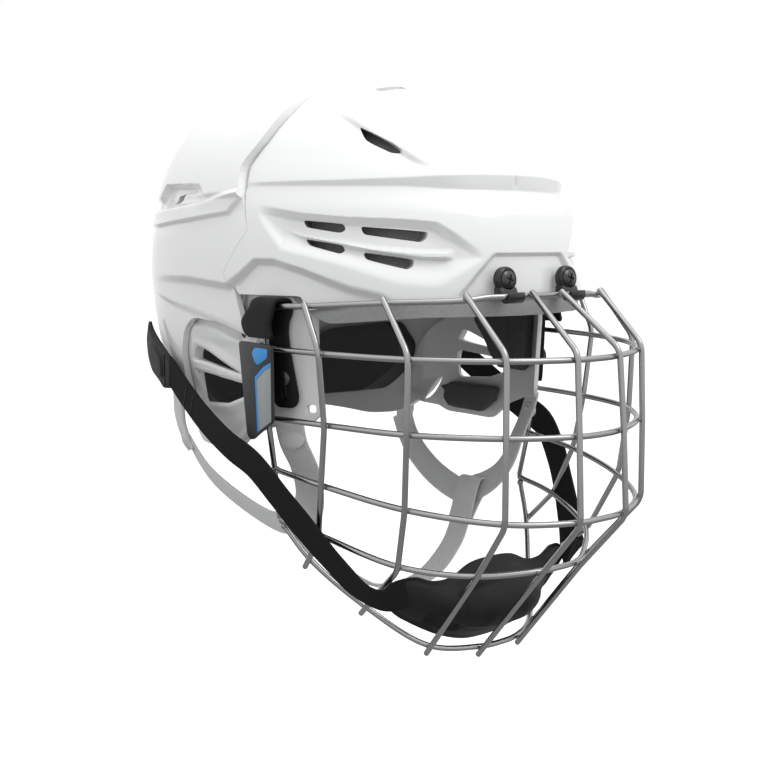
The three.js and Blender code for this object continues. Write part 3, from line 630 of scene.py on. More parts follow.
def brow_crease(a):
    """The height where the shell ends over the brow; grey foam shows below it."""
    return look_up([(0, -0.7), (16, -0.9), (23, -1.6), (30, -2.7), (38.5, -4.8), (45, -7.2), (54, -9.4)], a)


def front_relief(a, z, x):
    """What is moulded into the front shell, in millimetres outwards."""
    out = brow_ledge(a, z)
    # the scoop with the side vents, with a bevelled top edge and a floor that runs out below
    top, floor = look_up(SCOOP_TOP, a), look_up(SCOOP_FLOOR, a)
    down = (top - z) / (top - floor)
    scoop = 5.2 * (1 - ramp(51, 60.4, a)) * ramp(11, 18, a)
    out = out - scoop * ramp(0, 4.0, top - z) * (1 - smooth(0.55, 1.02, down))
    # the fin between the upper and lower vents
    fin = ramp(0, 1.5, z - look_up(FIN_FLOOR, a)) * ramp(0, 1.8, look_up(FIN_TOP, a) - z)
    out = out + 3.6 * fin * ramp(16.2, 17.6, a) * (1 - ramp(46, 53, a))
    # crown vent lip
    below = look_up(CROWN_LIP, a) - z
    lip = ramp(0, 2.2, below) * (1 - smooth(6, 17, below)) * smooth(16, 23, a) * (1 - smooth(34, 45, a))
    out = out - 2.8 * lip * smooth(57, 62, z)
    # flat panel for the cage clips
    half = look_up([(0, 39.5), (1.5, 38.6), (11, 31), (19.4, 23), (22, 21)], z)
    out = out - 2.2 * ramp(0, 2.2, half - np.abs(x)) * ramp(0, 1.8, 20 - z)
    # the edge that meets the rear shell is bevelled, from the crown down to the ledge
    y = WIDEST_Y - x / np.tan(np.radians(np.maximum(a, 1)))
    seam = look_up([(height, back) for back, height in SEAM[::-1]], z)
    out = out - 1.5 * ramp(-2.8, -0.8, y - seam) * smooth(48, 54, z)
    # shallow crown channel
    channel = smooth(60, 70, z) * (1 - smooth(96, 102, z))
    return out - 0.9 * (1 - smooth(14, 17, np.abs(x))) * channel * (1 - smooth(60, 80, a))


def brow_ledge(a, z):
    """The crown overhangs the brow: a sloping band, wide in front and narrow at the temples."""
    low, high = look_up(LEDGE_FLOOR, a), look_up(LEDGE_TOP, a)
    depth = look_up(LEDGE_DEPTH, a)
    up = ramp(0, 1, (z - low) / (high - low))
    sunk = -0.6 * depth * (1 - up) * smooth(0, 12, z - low + 12)
    proud = 0.4 * depth * up * (1 - smooth(0, 15, z - high))
    return (sunk + proud) * (1 - smooth(60, 70, a))


def rear_relief(a, z, x):
    """What is moulded into the rear shell, in millimetres outwards."""
    band = ramp(0, 2.0, z - look_up(BAND_FLOOR, a)) * (1 - ramp(-0.8, 1.2, z - look_up(BAND_TOP, a)))
    out = 2.2 * band * smooth(62, 70, a) + look_up(REAR_CHEEK, z) * smooth(85, 115, a)
    # the cheek panel ends in a rim over the ear guard
    out = out - 1.5 * ramp(0, 2.0, look_up(CHEEK_RIM, a) - z) * (1 - smooth(108, 126, a))
    # rear scoop, deepest under its top edge
    top = look_up(REAR_SCOOP_TOP, a)
    scoop = ramp(0, 3.0, top - z) * ramp(0, 7, z - look_up(BAND_TOP, a)) * ramp(80, 92, a)
    out = out - 4.8 * scoop * (1 - ramp(113, 119, a))
    # the strip beside the seam stands a little higher than the dome behind it
    strip = 1 - smooth(0, 5, a - look_up(REAR_CREASE, z))
    out = out + 1.0 * strip * smooth(40, 48, z) * (1 - smooth(86, 98, z))
    # a soft spine round the back
    spine = 1.4 * (1 - smooth(16, 24, np.abs(x))) * smooth(128, 140, a)
    return out + spine * (1 - smooth(84, 100, z)) * smooth(44, 52, z)


def rolled_rim_relief(a, z, x):
    """The rear shell's inside: the wall thickens along the rim over the ear guard."""
    rim = look_up(CHEEK_RIM, a)
    roll = smooth(0, 5, rim + 3 - z) * smooth(62, 66, a) * (1 - smooth(104, 116, a))
    return rear_relief(a, z, x) - 0.5 * roll


def surface(a, z, side, inset, relief):
    """Points of the shell's surface by angle in degrees and height."""
    angle = np.radians(a)
    r = base_radius(angle, z, inset) - temple_recess(np.asarray(a, float), z)
    x = r * np.sin(angle)
    r = r + relief(np.asarray(a, float), z, x)
    y = WIDEST_Y - r * np.cos(angle)
    return np.stack([side * r * np.sin(angle), y, np.broadcast_to(z, r.shape)], axis=-1)


def spread(*runs):
    """Values in runs of (start, stop, step)."""
    return np.concatenate([np.arange(start, stop, step) for start, stop, step in runs])


FRONT_ANGLES = spread((0, 8, 0.6), (8, 66, 0.42), (66, 88, 0.6), (88, 180, 5))
REAR_ANGLES = spread((0, 55, 5), (55, 125, 0.5), (125, 180, 1.2))
PLAIN_ANGLES = spread((0, 180, 1.8))
FINE_HEIGHTS = spread((-94, -24, 3), (-24, -8, 1.6), (-8, 8, 0.85), (8, 60, 0.46), (60, 66, 1))
PLAIN_HEIGHTS = spread((-94, 66, 2.6))


def dome(name, inset, relief, angles=PLAIN_ANGLES, heights=PLAIN_HEIGHTS, cap_rows=30):
    """The solid inside the shell surface, by half-circle angles in degrees and heights."""
    top = CROWN - float(np.min(inset(np.array([CROWN]))))
    rise = np.arcsin(np.clip(66 / top, 0, 1) ** 1.2)
    cap = top * np.sin(np.linspace(rise, math.pi / 2 - 0.02, cap_rows)) ** (1 / 1.2)
    heights = np.concatenate([heights, cap])
    angle = np.radians(np.concatenate([angles, 360 - angles[:0:-1]]))
    grid_angle, z = np.meshgrid(angle, heights)
    a = degrees_from_face(grid_angle)
    side = np.where(np.sin(grid_angle) < 0, -1, 1)
    points = surface(a, z, side, inset(z), relief)
    rows, columns = z.shape
    faces = grid_faces(rows, columns, wrap=True)
    peak = (0, WIDEST_Y - 6, top)
    verts = np.vstack([points.reshape(-1, 3), [peak]])
    last = (rows - 1) * columns
    faces += [(last + i, last + (i + 1) % columns, rows * columns) for i in range(columns)]
    faces.append(tuple(range(columns))[::-1])
    return recalculate(new_object(name, verts, faces))


def radial_cutter(outline, side, relief, depth=14, radius=1.5):
    """A hole's cutter: an (angle, height) outline pushed through the wall."""
    scale = 1.9  # millimetres of surface for each degree
    flat = rounded([(a * scale, z) for a, z in outline], radius)
    a, z = flat[:, 0] / scale, flat[:, 1]
    outer = surface(a, z, side, -8.0, relief)
    inner = surface(a, z, side, float(depth), relief)
    return skin("cutter", [outer, inner])


def top_cutter(outline, side):
    flat = rounded([(x * side, y) for x, y in outline], 1.5)
    return skin("cutter", [[(x, y, z) for x, y in flat] for z in (60, 130)])


SIZE_TRAVEL = 8  # how far the rear shell slides out
TONGUE_FRONT = -6  # the tongue's edges, measured from the seam
TONGUE_BACK = 14
TONGUE_FOOT = [(3, -0.9), (9, -0.9), (9.6, -5), (23, -5)]  # its lower end, clear of the ear guard's top
SEAM = [(26, 130), (22, 113), (8, 102), (3, 90), (3, 75), (7, 62), (3, 49), (-4, 31), (11, 10), (9, 3)]
FRONT_EDGE = [(5, -0.9), (-33.6, -0.9), (-34, -15), (-46, -14.5), (-62, -12), (-85, -9.5), (-200, -9.5)]
REAR_EDGE = [(200, -80), (140, -82), (105, -88), (88, -86), (74, -74), (66, -54), (64, -35), (56.5, -21),
             (48, -14.5), (24, -16)]
REAR_FRONT_FOOT = (1.5, -21.5)
WIDE = 140


def seam_line(dy):
    """The seam, smooth down to the ledge and then in straight runs, where it is narrower."""
    upper = [tuple(p) for p in through(SEAM[:7], 30)]
    return [(y + dy * (1 if z > 48 else 0.25), z) for y, z in upper + SEAM[7:]]


def brow_trim():
    """What is cut away below the brow's edge line, from temple to temple."""
    angle = np.linspace(0, 2 * math.pi, 360, endpoint=False)
    a = degrees_from_face(angle)
    edge = np.where(a < 54, brow_crease(a), -59.0)
    far = np.stack([260 * np.sin(angle), WIDEST_Y - 260 * np.cos(angle), edge], axis=-1)
    near = np.stack([20 * np.sin(angle), WIDEST_Y - 20 * np.cos(angle), edge], axis=-1)
    foot = (0, 0, -60)
    verts = np.vstack([near, far, far * (1, 1, 0) + foot, near * (1, 1, 0) + foot])
    n = len(angle)
    faces = [(i + k * n, (i + 1) % n + k * n, (i + 1) % n + (k + 1) % 4 * n, i + (k + 1) % 4 * n)
             for k in range(4) for i in range(n)]
    return recalculate(new_object("trim", verts, faces))


def build_tongue():
    """The front shell's tongue, which stays under both shells as the rear one slides."""
    outline = [(y + TONGUE_FRONT, z) for y, z in seam_line(0)]
    outline += TONGUE_FOOT
    outline += [(y + TONGUE_BACK, z) for y, z in seam_line(0)[::-1]]
    tongue = under_both_shells("front_shell_tongue", 0.5)
    cut(tongue, [under_both_shells("hollow", 2.1)])
    cut(tongue, [prism_x("region", outline, -WIDE, WIDE)], "INTERSECT")
    place(tongue, "shell", "helmet", ["front_shell"], angle=48)


def under_both_shells(name, gap):
    """The solid inside the front shell, and inside the rear one wherever it slides to."""
    inset = lambda z: np.full_like(z, WALL + gap)
    covers = []
    for slide in (0, SIZE_TRAVEL / 2, SIZE_TRAVEL):
        cover = dome("cover", inset, rolled_rim_relief)
        for vertex in cover.data.vertices:
            vertex.co.y += slide * MM
        covers.append(cover)
    return cut(dome(name, inset, front_relief), covers, "INTERSECT")


def build_shells():
    solid = lambda z: np.zeros_like(z)
    hollow = lambda z: np.full_like(z, WALL)
    front = dome("front_shell_skin", solid, front_relief, FRONT_ANGLES, FINE_HEIGHTS, 60)
    cut(front, [dome("inner", hollow, front_relief)])
    edge = rounded([(y, z) for y, z in FRONT_EDGE], 3, closed=False)
    outline = [(-200, 130), *seam_line(-SEAM_GAP), *map(tuple, edge)]
    cut(front, [prism_x("region", outline, -WIDE, WIDE)], "INTERSECT")
    cutters = [brow_trim()]
    for _, side in SIDES:
        cutters += [radial_cutter(slot, side, front_relief) for slot in SIDE_SLOTS]
        cutters.append(radial_cutter(CROWN_SLOT, side, front_relief, radius=2.0))
        cutters.append(top_cutter(TOP_SLOT, side))
    cut(front, cutters)
    place(front, "shell", "helmet", ["front_shell"], angle=48)

    build_tongue()

    # the rear shell is thicker where it stands over the front one
    proud = lambda z: -REAR_PROUD * smooth(46, 50, z)
    rear = dome("rear_shell_skin", proud, rear_relief, REAR_ANGLES, FINE_HEIGHTS, 50)
    cut(rear, [dome("inner", hollow, rolled_rim_relief)])
    rear_edge = rounded(REAR_EDGE, 6, closed=False)
    outline = [*seam_line(0), REAR_FRONT_FOOT, *[tuple(p) for p in rear_edge[::-1]], (200, 130)]
    cut(rear, [prism_x("region", outline, -WIDE, WIDE)], "INTERSECT")
    cut(rear, [radial_cutter(REAR_SLOT, side, rear_relief) for _, side in SIDES])
    place(rear, "shell", "rear", ["rear_shell"], angle=48)


# ---------------------------------------------------------------- foam inside

def liner(name, node, body, slot, outer, inner, outline, relief, channels=0, pockets=()):
    """A foam liner between two insets, cut to a side-view outline, with grooves in its inner face."""
    groove_depth = 2.5 if channels else 0
    groove = lambda a, z, x: relief(a, z, x) + groove_depth * (np.cos(np.radians(a) * channels) > 0.93)
    body_solid = dome(name, lambda z: np.full_like(z, outer), relief)
    cut(body_solid, [dome("inner", lambda z: np.full_like(z, inner), groove)])
    cut(body_solid, [prism_x("region", rounded(outline, 4), -WIDE, WIDE)], "INTERSECT")
    if pockets:
        cut(body_solid, pockets)
    place(body_solid, slot, body, [node], angle=50)
    return body_solid


def brow_foam_relief(a, z, x):
    """Below the brow's last crease the foam comes out nearly to the shell's face."""
    return front_relief(a, z, x) + 2.3 * smooth(0, 0.8, brow_crease(a) - 0.5 - z) * (1 - smooth(60, 64, a))


def build_liners():
    brow = [(-200, 40), (-20, 40), (-20, 0), (-44, -14), (-60, -12.4), (-84, -9.9), (-200, -9.9)]
    crown = [(-60, 130), (-60, 66), (90, 66), (90, 130)]
    rear = [(60, 60), (60, -6), (200, -6), (200, 60)]
    nape = [(107, -28), (94, -43), (94, -56), (105, -72.5), (124, -75), (200, -75), (200, -47), (142, -44),
            (137, -33)]
    # deep pockets in the foam behind the side vents
    pockets = [radial_cutter(slot, side, front_relief, 10.2) for _, side in SIDES for slot in SIDE_SLOTS]
    liner("brow_foam", "brow_liner", "helmet", "foam_grey", 3.5, 14, brow, brow_foam_relief, 14, pockets)
    liner("crown_foam", "crown_liner", "helmet", "foam_grey", 10, 19, crown, lambda a, z, x: 0 * a, 10)
    liner("rear_foam", "rear_liner", "rear", "foam_grey", 3.8, 14, rear, rear_relief, 14)
    liner("nape_pad", "occipital_pad", "rear", "foam_black", 3.8, 16, nape, rear_relief)


# ---------------------------------------------------------------- ear guards

# the outer face in plan (y, x), then its outline and holes in side view (y, z)
EAR_PLAN = [(-34.5, 74.5), (-32.5, 78.5), (-29, 83), (-24, 87.5), (-14, 91.7), (0, 95.3), (20, 97.6),
            (45, 97.6), (57, 96.4), (70, 93.5), (80, 90)]
EAR_OUTLINE = [(-32.4, -1.3), (8, -1.3), (8, -8), (14, -6), (40, -6), (50, -16), (60, -20), (76, -30),
               (86, -42), (91, -58), (91, -75.5), (73, -78), (60, -84), (20, -84), (6, -73),
               (-12, -66.5), (-28, -65), (-32, -60)]
WINDOW_UPPER = [(51, -29.8), (55.5, -37.4), (11, -42)]
WINDOW_LOWER = [(55.5, -43.6), (8, -46.9), (4.5, -48.8), (8, -53), (25, -58.8), (52, -61)]
STRAP_SLOT = [(-31.2, -54.6), (-27.8, -55), (-27.8, -58.9), (-31.2, -58.5)]
# the part of it that the rear shell covers
EAR_COVERED = [(-1, 8), (-1, -22.5), (23, -17.5), (47, -16), (54.5, -23), (61, -36), (62.5, -54),
               (70.5, -75.5), (86, -88), (95, -88), (95, 8)]
EAR_WALL = 3.0
ear_curve = through(EAR_PLAN, 120)


def ear_face(y, z):
    """Distance of the ear guard's outer face from the middle."""
    return np.interp(y, ear_curve[:, 0], ear_curve[:, 1]) - 0.07 * np.maximum(0, -20 - np.asarray(z, float))


def outline_distance(outline, y, z):
    """Distance from points to the nearest edge of an outline, negative inside it."""
    o = np.asarray(outline, float)
    nearest = np.full(np.shape(y), 1e9)
    inside = np.zeros(np.shape(y), bool)
    for (y0, z0), (y1, z1) in zip(o, np.roll(o, -1, axis=0)):
        dy, dz = y1 - y0, z1 - z0
        t = np.clip(((y - y0) * dy + (z - z0) * dz) / (dy * dy + dz * dz), 0, 1)
        nearest = np.minimum(nearest, np.hypot(y - y0 - t * dy, z - z0 - t * dz))
        if z0 != z1:
            crosses = ((z0 > z) != (z1 > z)) & (y < y0 + (z - z0) / (z1 - z0) * dy)
            inside ^= crosses
    return np.where(inside, -nearest, nearest)


def build_ear_guard(label, side):
    ys = np.linspace(-34.4, 92, 122)
    zs = np.linspace(-87, 2, 88)
    z, y = np.meshgrid(zs, ys)
    windows = np.minimum(outline_distance(WINDOW_UPPER, y, z), outline_distance(WINDOW_LOWER, y, z))
    frame_edge = outline_distance(rounded(EAR_OUTLINE, 4), y, z)
    # rounded rims round the windows and the outer edge, a sunk field between them
    field = smooth(3.2, 6.5, windows) * smooth(3, 6.5, -frame_edge)
    sunk = 0.9 * field * (1 - smooth(-30, -24, z) * smooth(8, 16, y))
    swell = 0.5 * np.sin(np.clip(windows / 3.2, 0, 1) * math.pi)
    edge_drop = 0.7 * (1 - smooth(0, 1.4, np.abs(windows))) + 0.6 * (1 - smooth(0, 1.4, np.abs(frame_edge)))
    # behind the ear it swells out to lie close under the rear shell's rim
    narrowing = (1 - (np.abs(z) / (CROWN - WALL)) ** 2.6) ** 0.77 - ((y - WIDEST_Y) / (REAR - WALL)) ** 2
    under_rim = (HALF_WIDTH - WALL) * np.sqrt(np.clip(narrowing, 0, 1)) - 2.9
    swell = swell + np.clip(under_rim - ear_face(y, z), 0, 5) * smooth(40, 54, y)
    face = ear_face(y, z) - sunk + swell - edge_drop - 0.35
    # it steps in under the rear shell's rim, which slides back over it
    rim = np.interp(y, [9.5, 32, 56], [-23.4, -17.9, -16.5])
    room = np.interp(y, [12, 18, 28, 40, 48, 56], [92.2, 93.9, 95.2, 96.2, 97.2, 97.6])
    step = smooth(-3.5, 0, z - rim) * smooth(-3, 1.5, y) * np.clip(face - room, 0, 5)
    face = face - step
    step_inside = np.maximum(0, step - 2.2)
    # and further back it turns in with the shell, well inside it
    tuck = smooth(66, 74, y) * np.clip(face - under_rim - 0.4, 0, 30)
    outer = np.stack([side * (face - tuck), y, z], axis=-1)
    inner = np.stack([side * (ear_face(y, z) - EAR_WALL - tuck - step_inside), y, z], axis=-1)
    guard = slab(f"ear_guard_frame_{label}", outer, inner)
    x0, x1 = sorted((side * 60, side * 125))
    cut(guard, [prism_x("region", rounded(EAR_OUTLINE, 4), x0, x1)], "INTERSECT")
    holes = [(WINDOW_UPPER, 2.5), (WINDOW_LOWER, 3.5), (STRAP_SLOT, 1.1)]
    cutters = [prism_x("hole", rounded(outline, radius), x0, x1) for outline, radius in holes]
    # the guard's back reaches inside the rear shell, so it is thinned there
    reach = prism_x("reach", EAR_COVERED, *sorted((side * 40, side * 140)))
    flat = lambda a, z, x: 0 * a
    cut(reach, [dome("clear", lambda z: np.full_like(z, WALL + 2.0), flat)])
    cut(guard, [*cutters, reach])
    keep_largest(guard)
    soften(guard, 0.35, 2, 50)
    place(guard, "ear_guard_plastic", "helmet", [f"ear_guard_{label}"], angle=45)


def keep_largest(obj):
    """Deletes all but the largest connected part."""
    bm = bmesh.new()
    bm.from_mesh(obj.data)
    bm.verts.ensure_lookup_table()
    seen, groups = set(), []
    for start in bm.verts:
        if start in seen:
            continue
        group, queue = [], [start]
        seen.add(start)
        while queue:
            v = queue.pop()
            group.append(v)
            for edge in v.link_edges:
                other = edge.other_vert(v)
                if other not in seen:
                    seen.add(other)
                    queue.append(other)
        groups.append(group)
    groups.sort(key=len)
    for group in groups[:-1]:
        bmesh.ops.delete(bm, geom=group, context="VERTS")
    bm.to_mesh(obj.data)
    bm.free()


# ---------------------------------------------------------------- soft pads

def pad(name, node, body, slot, shrink=0.9, voxel=2.2, cap=2.0, widest=None):
    """A fabric-covered pad: the CAD solid, a little smaller, remeshed and blown up as cloth.
    It is flat where it lies against the guard, at the distance widest from the middle."""
    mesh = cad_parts[node].data.copy()
    obj = bpy.data.objects.new(name, mesh)
    scene.collection.objects.link(obj)
    modifier = obj.modifiers.new("remesh", "REMESH")
    modifier.mode = "VOXEL"
    modifier.voxel_size = voxel * MM
    apply_modifiers(obj)
    shrink_along_normals(obj, shrink)
    inflate(obj, cap)
    if widest:
        for vertex in obj.data.vertices:
            vertex.co.x = min(max(vertex.co.x, -widest * MM), widest * MM)
    subdivide(obj)
    place(obj, slot, body, [node], angle=80)
    return obj


def shrink_along_normals(obj, amount):
    mesh = obj.data
    for vertex in mesh.vertices:
        vertex.co -= vertex.normal * amount * MM


def subdivide(obj):
    modifier = obj.modifiers.new("fine", "SUBSURF")
    modifier.levels = modifier.render_levels = 1
    apply_modifiers(obj)


def inflate(obj, cap):
    """Pressure from inside, gravity off, with a limit on how far a point may move."""
    before = np.array([v.co for v in obj.data.vertices])
    cloth = obj.modifiers.new("cloth", "CLOTH")
    settings = cloth.settings
    settings.use_pressure = True
    settings.uniform_pressure_force = 4
    settings.effector_weights.gravity = 0
    settings.quality = 5
    cloth.point_cache.frame_start = 1
    cloth.point_cache.frame_end = 20
    for number in range(1, 21):
        scene.frame_set(number)
    evaluated = obj.evaluated_get(bpy.context.evaluated_depsgraph_get())
    after = np.array([v.co for v in evaluated.data.vertices])
    move = after - before
    length = np.linalg.norm(move, axis=1, keepdims=True)
    limit = cap * MM
    move = move * np.minimum(1, limit / np.maximum(length, 1e-9))
    obj.modifiers.clear()
    obj.data.vertices.foreach_set("co", (before + move).astype(np.float32).ravel())
    obj.data.update()
    scene.frame_set(1)


# ---------------------------------------------------------------- the cage

WIRE_RADIUS = 1.45
BAR_INSIDE = -1.6
UPRIGHT_OUTSIDE = 1.15
HINGE_Y = -109.6
GRID = {
    "top": [(0, -111.4, 0), (9.9, -111.4, 0), (44.6, -104.2, -0.4), (73, -80.4, -1.9), (92.4, -46.5, -4.8),
            (97, -14, -6)],
    "bar_2": [(0, -144.8, -26.5), (13.8, -143.5, -26.5), (44.8, -130.7, -26.5), (74.9, -100.4, -26.5),
              (92.1, -56.8, -26.5), (96.5, -14, -26.5)],
    "bar_3": [(0, -147.6, -61.7), (14.6, -146.3, -61.5), (45.4, -131.9, -61.2), (74.6, -99.4, -61),
              (87.9, -55.4, -61), (94, -13.4, -61.5)],
    "bar_4": [(0, -149.8, -101), (15, -148.6, -100.9), (45.6, -132.4, -100.3), (72.4, -95.4, -96.8),
              (86.2, -49.9, -91.5), (89.6, -12, -88.4)],
    "bar_5": [(0, -124, -130.4), (13.2, -122.7, -130.4), (38.7, -105.6, -132.2), (65.4, -81.4, -128.3),
              (81.1, -39.9, -119), (85.2, -9.5, -115.4)],
    "chin": [(0, -84, -179.4), (13.4, -82.8, -179), (36.5, -70, -177), (59, -46, -158.5),
             (78, -24.6, -135.4), (85, -9.6, -117)],
}
ROWS = list(GRID)
LAST = len(GRID["top"]) - 1
welds = []


def on_grid(row, column):
    return np.array(GRID[ROWS[row]][column], float)


def crossing(row, column, out):
    """A crossing of the cage's surface moved along its outward normal."""
    here = on_grid(row, column)
    before = on_grid(row, 1) * (-1, 1, 1) if column == 0 else on_grid(row, column - 1)
    along_row = on_grid(row, min(column + 1, LAST)) - before
    along_column = on_grid(min(row + 1, len(ROWS) - 1), column) - on_grid(max(row - 1, 0), column)
    normal = unit(np.cross(along_row, along_column))
    if normal.dot((here[0], here[1] + 20, min(here[2] + 80, 0))) < 0:
        normal = -normal
    return here + normal * out


def whole(half):
    half = np.asarray(half, float)
    other = half[half[:, 0] > 0.01][::-1] * (-1, 1, 1)
    return np.vstack([other, half])


def smooth_half(points, samples):
    mirrored = np.array(points[1]) * (-1, 1, 1)
    curve = through([mirrored, *points], samples * len(points))
    half = curve[curve[:, 0] >= 0]
    half[0][0] = 0
    return half


def corner_route(corners, radius):
    """Straight runs with bent corners, sampled finely enough to look bent."""
    return rounded(corners, radius, steps=8, closed=False)


def wire_piece(name, points):
    piece = tube(name, points, WIRE_RADIUS)
    place(piece, "wire", "cage", [name.replace("wire_", "cage_")], angle=60)


def build_cage():
    middle = [(0, HINGE_Y, 0), (26, HINGE_Y, 0)]
    swept = [(26, HINGE_Y, 0), (34, HINGE_Y + 2.6, -0.2), crossing(0, 2, BAR_INSIDE),
             crossing(0, 3, BAR_INSIDE), crossing(0, 4, BAR_INSIDE + 0.6), (96, -27, -5.8)]
    curve = through(swept, 60)
    stop = on_grid(4, 5) * 0.96 + on_grid(3, 5) * 0.04
    drop = corner_route([curve[-1], *[on_grid(row, 5) for row in range(4)], stop], 7)
    wire_piece("wire_top_bar", whole(np.vstack([[middle[0]], curve, drop[1:]])))
    for row in range(1, 5):
        points = [crossing(row, column, BAR_INSIDE) for column in range(4)]
        points.append(crossing(row, 4, BAR_INSIDE + 0.5))
        end = on_grid(row, 5)
        points.append(end + unit(points[-1] - end) * WIRE_RADIUS)
        welds.append((points[-1], 1.9))
        wire_piece(f"wire_{ROWS[row]}", whole(smooth_half(points, 14)))
    chin = [crossing(5, column, BAR_INSIDE) for column in range(5)]
    chin.append(on_grid(4, 5) * 0.84 + on_grid(5, 4) * 0.16)
    welds.append((chin[-1], 1.9))
    wire_piece("wire_chin_bar", whole(smooth_half(chin, 16)))
    for number in range(1, 5):
        column = 5 - number
        out = UPRIGHT_OUTSIDE + (0.5 if number == 1 else 0)
        corners = [crossing(row, column, out if row else out + 0.2) for row in range(6)]
        for row in range(6):
            welds.append((crossing(row, column, (out + BAR_INSIDE) / 2), 1.25))
        corners[1][2] += 2
        corners[0] = corners[0] + unit(corners[0] - corners[1])
        corners[5] = corners[5] + unit(corners[5] - corners[4]) * 3.2
        for label, side in SIDES:
            wire_piece(f"wire_upright_{number}_{label}", mirror(corner_route(corners, 4.5), side))
    beads = []
    for at, radius in welds:
        for _, side in SIDES:
            profile = [(radius * math.cos(t), radius * math.sin(t)) for t in np.linspace(-1.45, 1.45, 7)]
            beads.append(turned("bead", profile, mirror(at, side), (0, 1, 0.2), segments=12))
    place(join("cage_welds", beads), "wire", "cage", angle=60,
          look=finish("weld_steel", (0.3, 0.3, 0.3), (0.35, 0.5), metal=1.0, grain=500, tint=0.12))


# ---------------------------------------------------------------- clips and side loops

CLIP_X = 20.5
CLIP_HALF = 4.9
CLIP_SCREW_Z = 7.4
HOOK_RADIUS = 3.3
BOSS_PROFILE = [(5.3, 0), (6.1, 0.4), (6.1, 2.8), (5.8, 3.6), (5.1, 4.1)]
SCREW_PROFILE = [(4.2, -0.4), (4.5, 0.5), (4.3, 1.3), (3.6, 2.0), (2.0, 2.5), (0.3, 2.6)]


def hinge_arc(radius, start, stop, count):
    """Side-view points round the cage's top bar, by angle in degrees."""
    turns = np.radians(np.linspace(start, stop, count))
    return [(HINGE_Y + radius * math.cos(t), radius * math.sin(t)) for t in turns]


def build_clips():
    for label, side in SIDES:
        # hooked body: round the bar below, flat against the brow above
        hook = hinge_arc(HOOK_RADIUS, -10, -215, 16)
        throat = hinge_arc(WIRE_RADIUS + 0.3, -215, 30, 18)
        outline = [(-102.2, 4), (-102.2, -0.4), *hook, *throat, (-107.2, 3.2), (-106.6, 4)]
        hooked = prism_x("hook", outline, CLIP_X - CLIP_HALF, CLIP_X + CLIP_HALF)
        # round boss that carries the screw, over the hooked body
        boss_at, boss_axis = (CLIP_X, -102.4, CLIP_SCREW_Z), (0, -1, 0.06)
        boss = turned("boss", BOSS_PROFILE, boss_at, boss_axis, segments=36)
        cut(hooked, [boss], "UNION")
        cut(hooked, [turned("seat", [(4.75, 2.9), (4.75, 8)], boss_at, boss_axis, segments=36)])
        if side == RIGHT:
            flip(hooked)
        hooked.name = f"brow_clip_{label}"
        soften(hooked, 0.45, 2, 35)
        place(hooked, "clip_plastic", "helmet", [f"cage_clip_{label}"])
        at = np.array((side * CLIP_X, -105.3, CLIP_SCREW_Z + 0.2))
        head = turned("head", SCREW_PROFILE, at, boss_axis)
        cut(head, cross_recess(at, boss_axis, 2.6))
        head.name = f"brow_screw_{label}"
        place(head, "screw_steel", "helmet", [f"clip_screw_{label}"], angle=30)


def flip(obj):
    """Mirrors a mesh across the middle plane."""
    for vertex in obj.data.vertices:
        vertex.co.x *= -1
    obj.data.flip_normals()
    return obj


def box_solid(name, at, along, up, half):
    """A block with its own axes: half sizes along, across and up."""
    along, up = unit(along), unit(up)
    across = unit(np.cross(up, along))
    up = np.cross(along, across)
    rings = []
    for s in (-1, 1):
        end = np.asarray(at) + along * s * half[0]
        corners = [(-1, -1), (1, -1), (1, 1), (-1, 1)]
        rings.append([end + across * u * half[1] + up * v * half[2] for u, v in corners])
    return skin(name, rings)


def cross_recess(at, axis, top, arm=2.3, wide=0.42):
    """Two crossed blocks that sink a cross into a screw's head."""
    axis = unit(axis)
    first = unit(np.cross(axis, (0.3, 0.1, 1)))
    second = np.cross(axis, first)
    middle = np.asarray(at, float) + axis * top
    halves = [(1.3, arm, wide), (1.3, wide, arm)]
    return [box_solid("arm", middle, axis, second, half) for half in halves]


FLAP_X = 100.15
LOOP_WALL = 2.3
LOOP_ROOF = -2.5
# stations of the side loop: height, back edge and front edge in y, from its foot up
LOOP_FOOT = [(-56, -17.5, -24.5), (-54.5, -15.5, -26.2), (-51, -14.7, -27), (-44, -14.6, -26.6),
             (-34, -14.5, -25.6), (-24, -14.5, -24.8), (-15, -14.3, -24.8), (-9, -14, -26.5)]
LOOP_HANG = [(-6.5, -8.5, -29.8), (-10.5, -3.5, -28.2), (-14, -0.5, -26.6), (-17, -1.2, -26.8),
             (-19.6, -3.2, -27.6), (-21.4, -7, -26.8)]
LOOP_SLOT = [(-22.6, -44.5), (-19.6, -44.5), (-20.4, -52.3), (-22.8, -52.3)]
LOOP_SQUARENESS = 0.72
SIDE_SCREW_PROFILE = [(4.1, -0.4), (4.3, 0.5), (4.0, 1.2), (3.0, 1.7), (0.4, 1.9)]


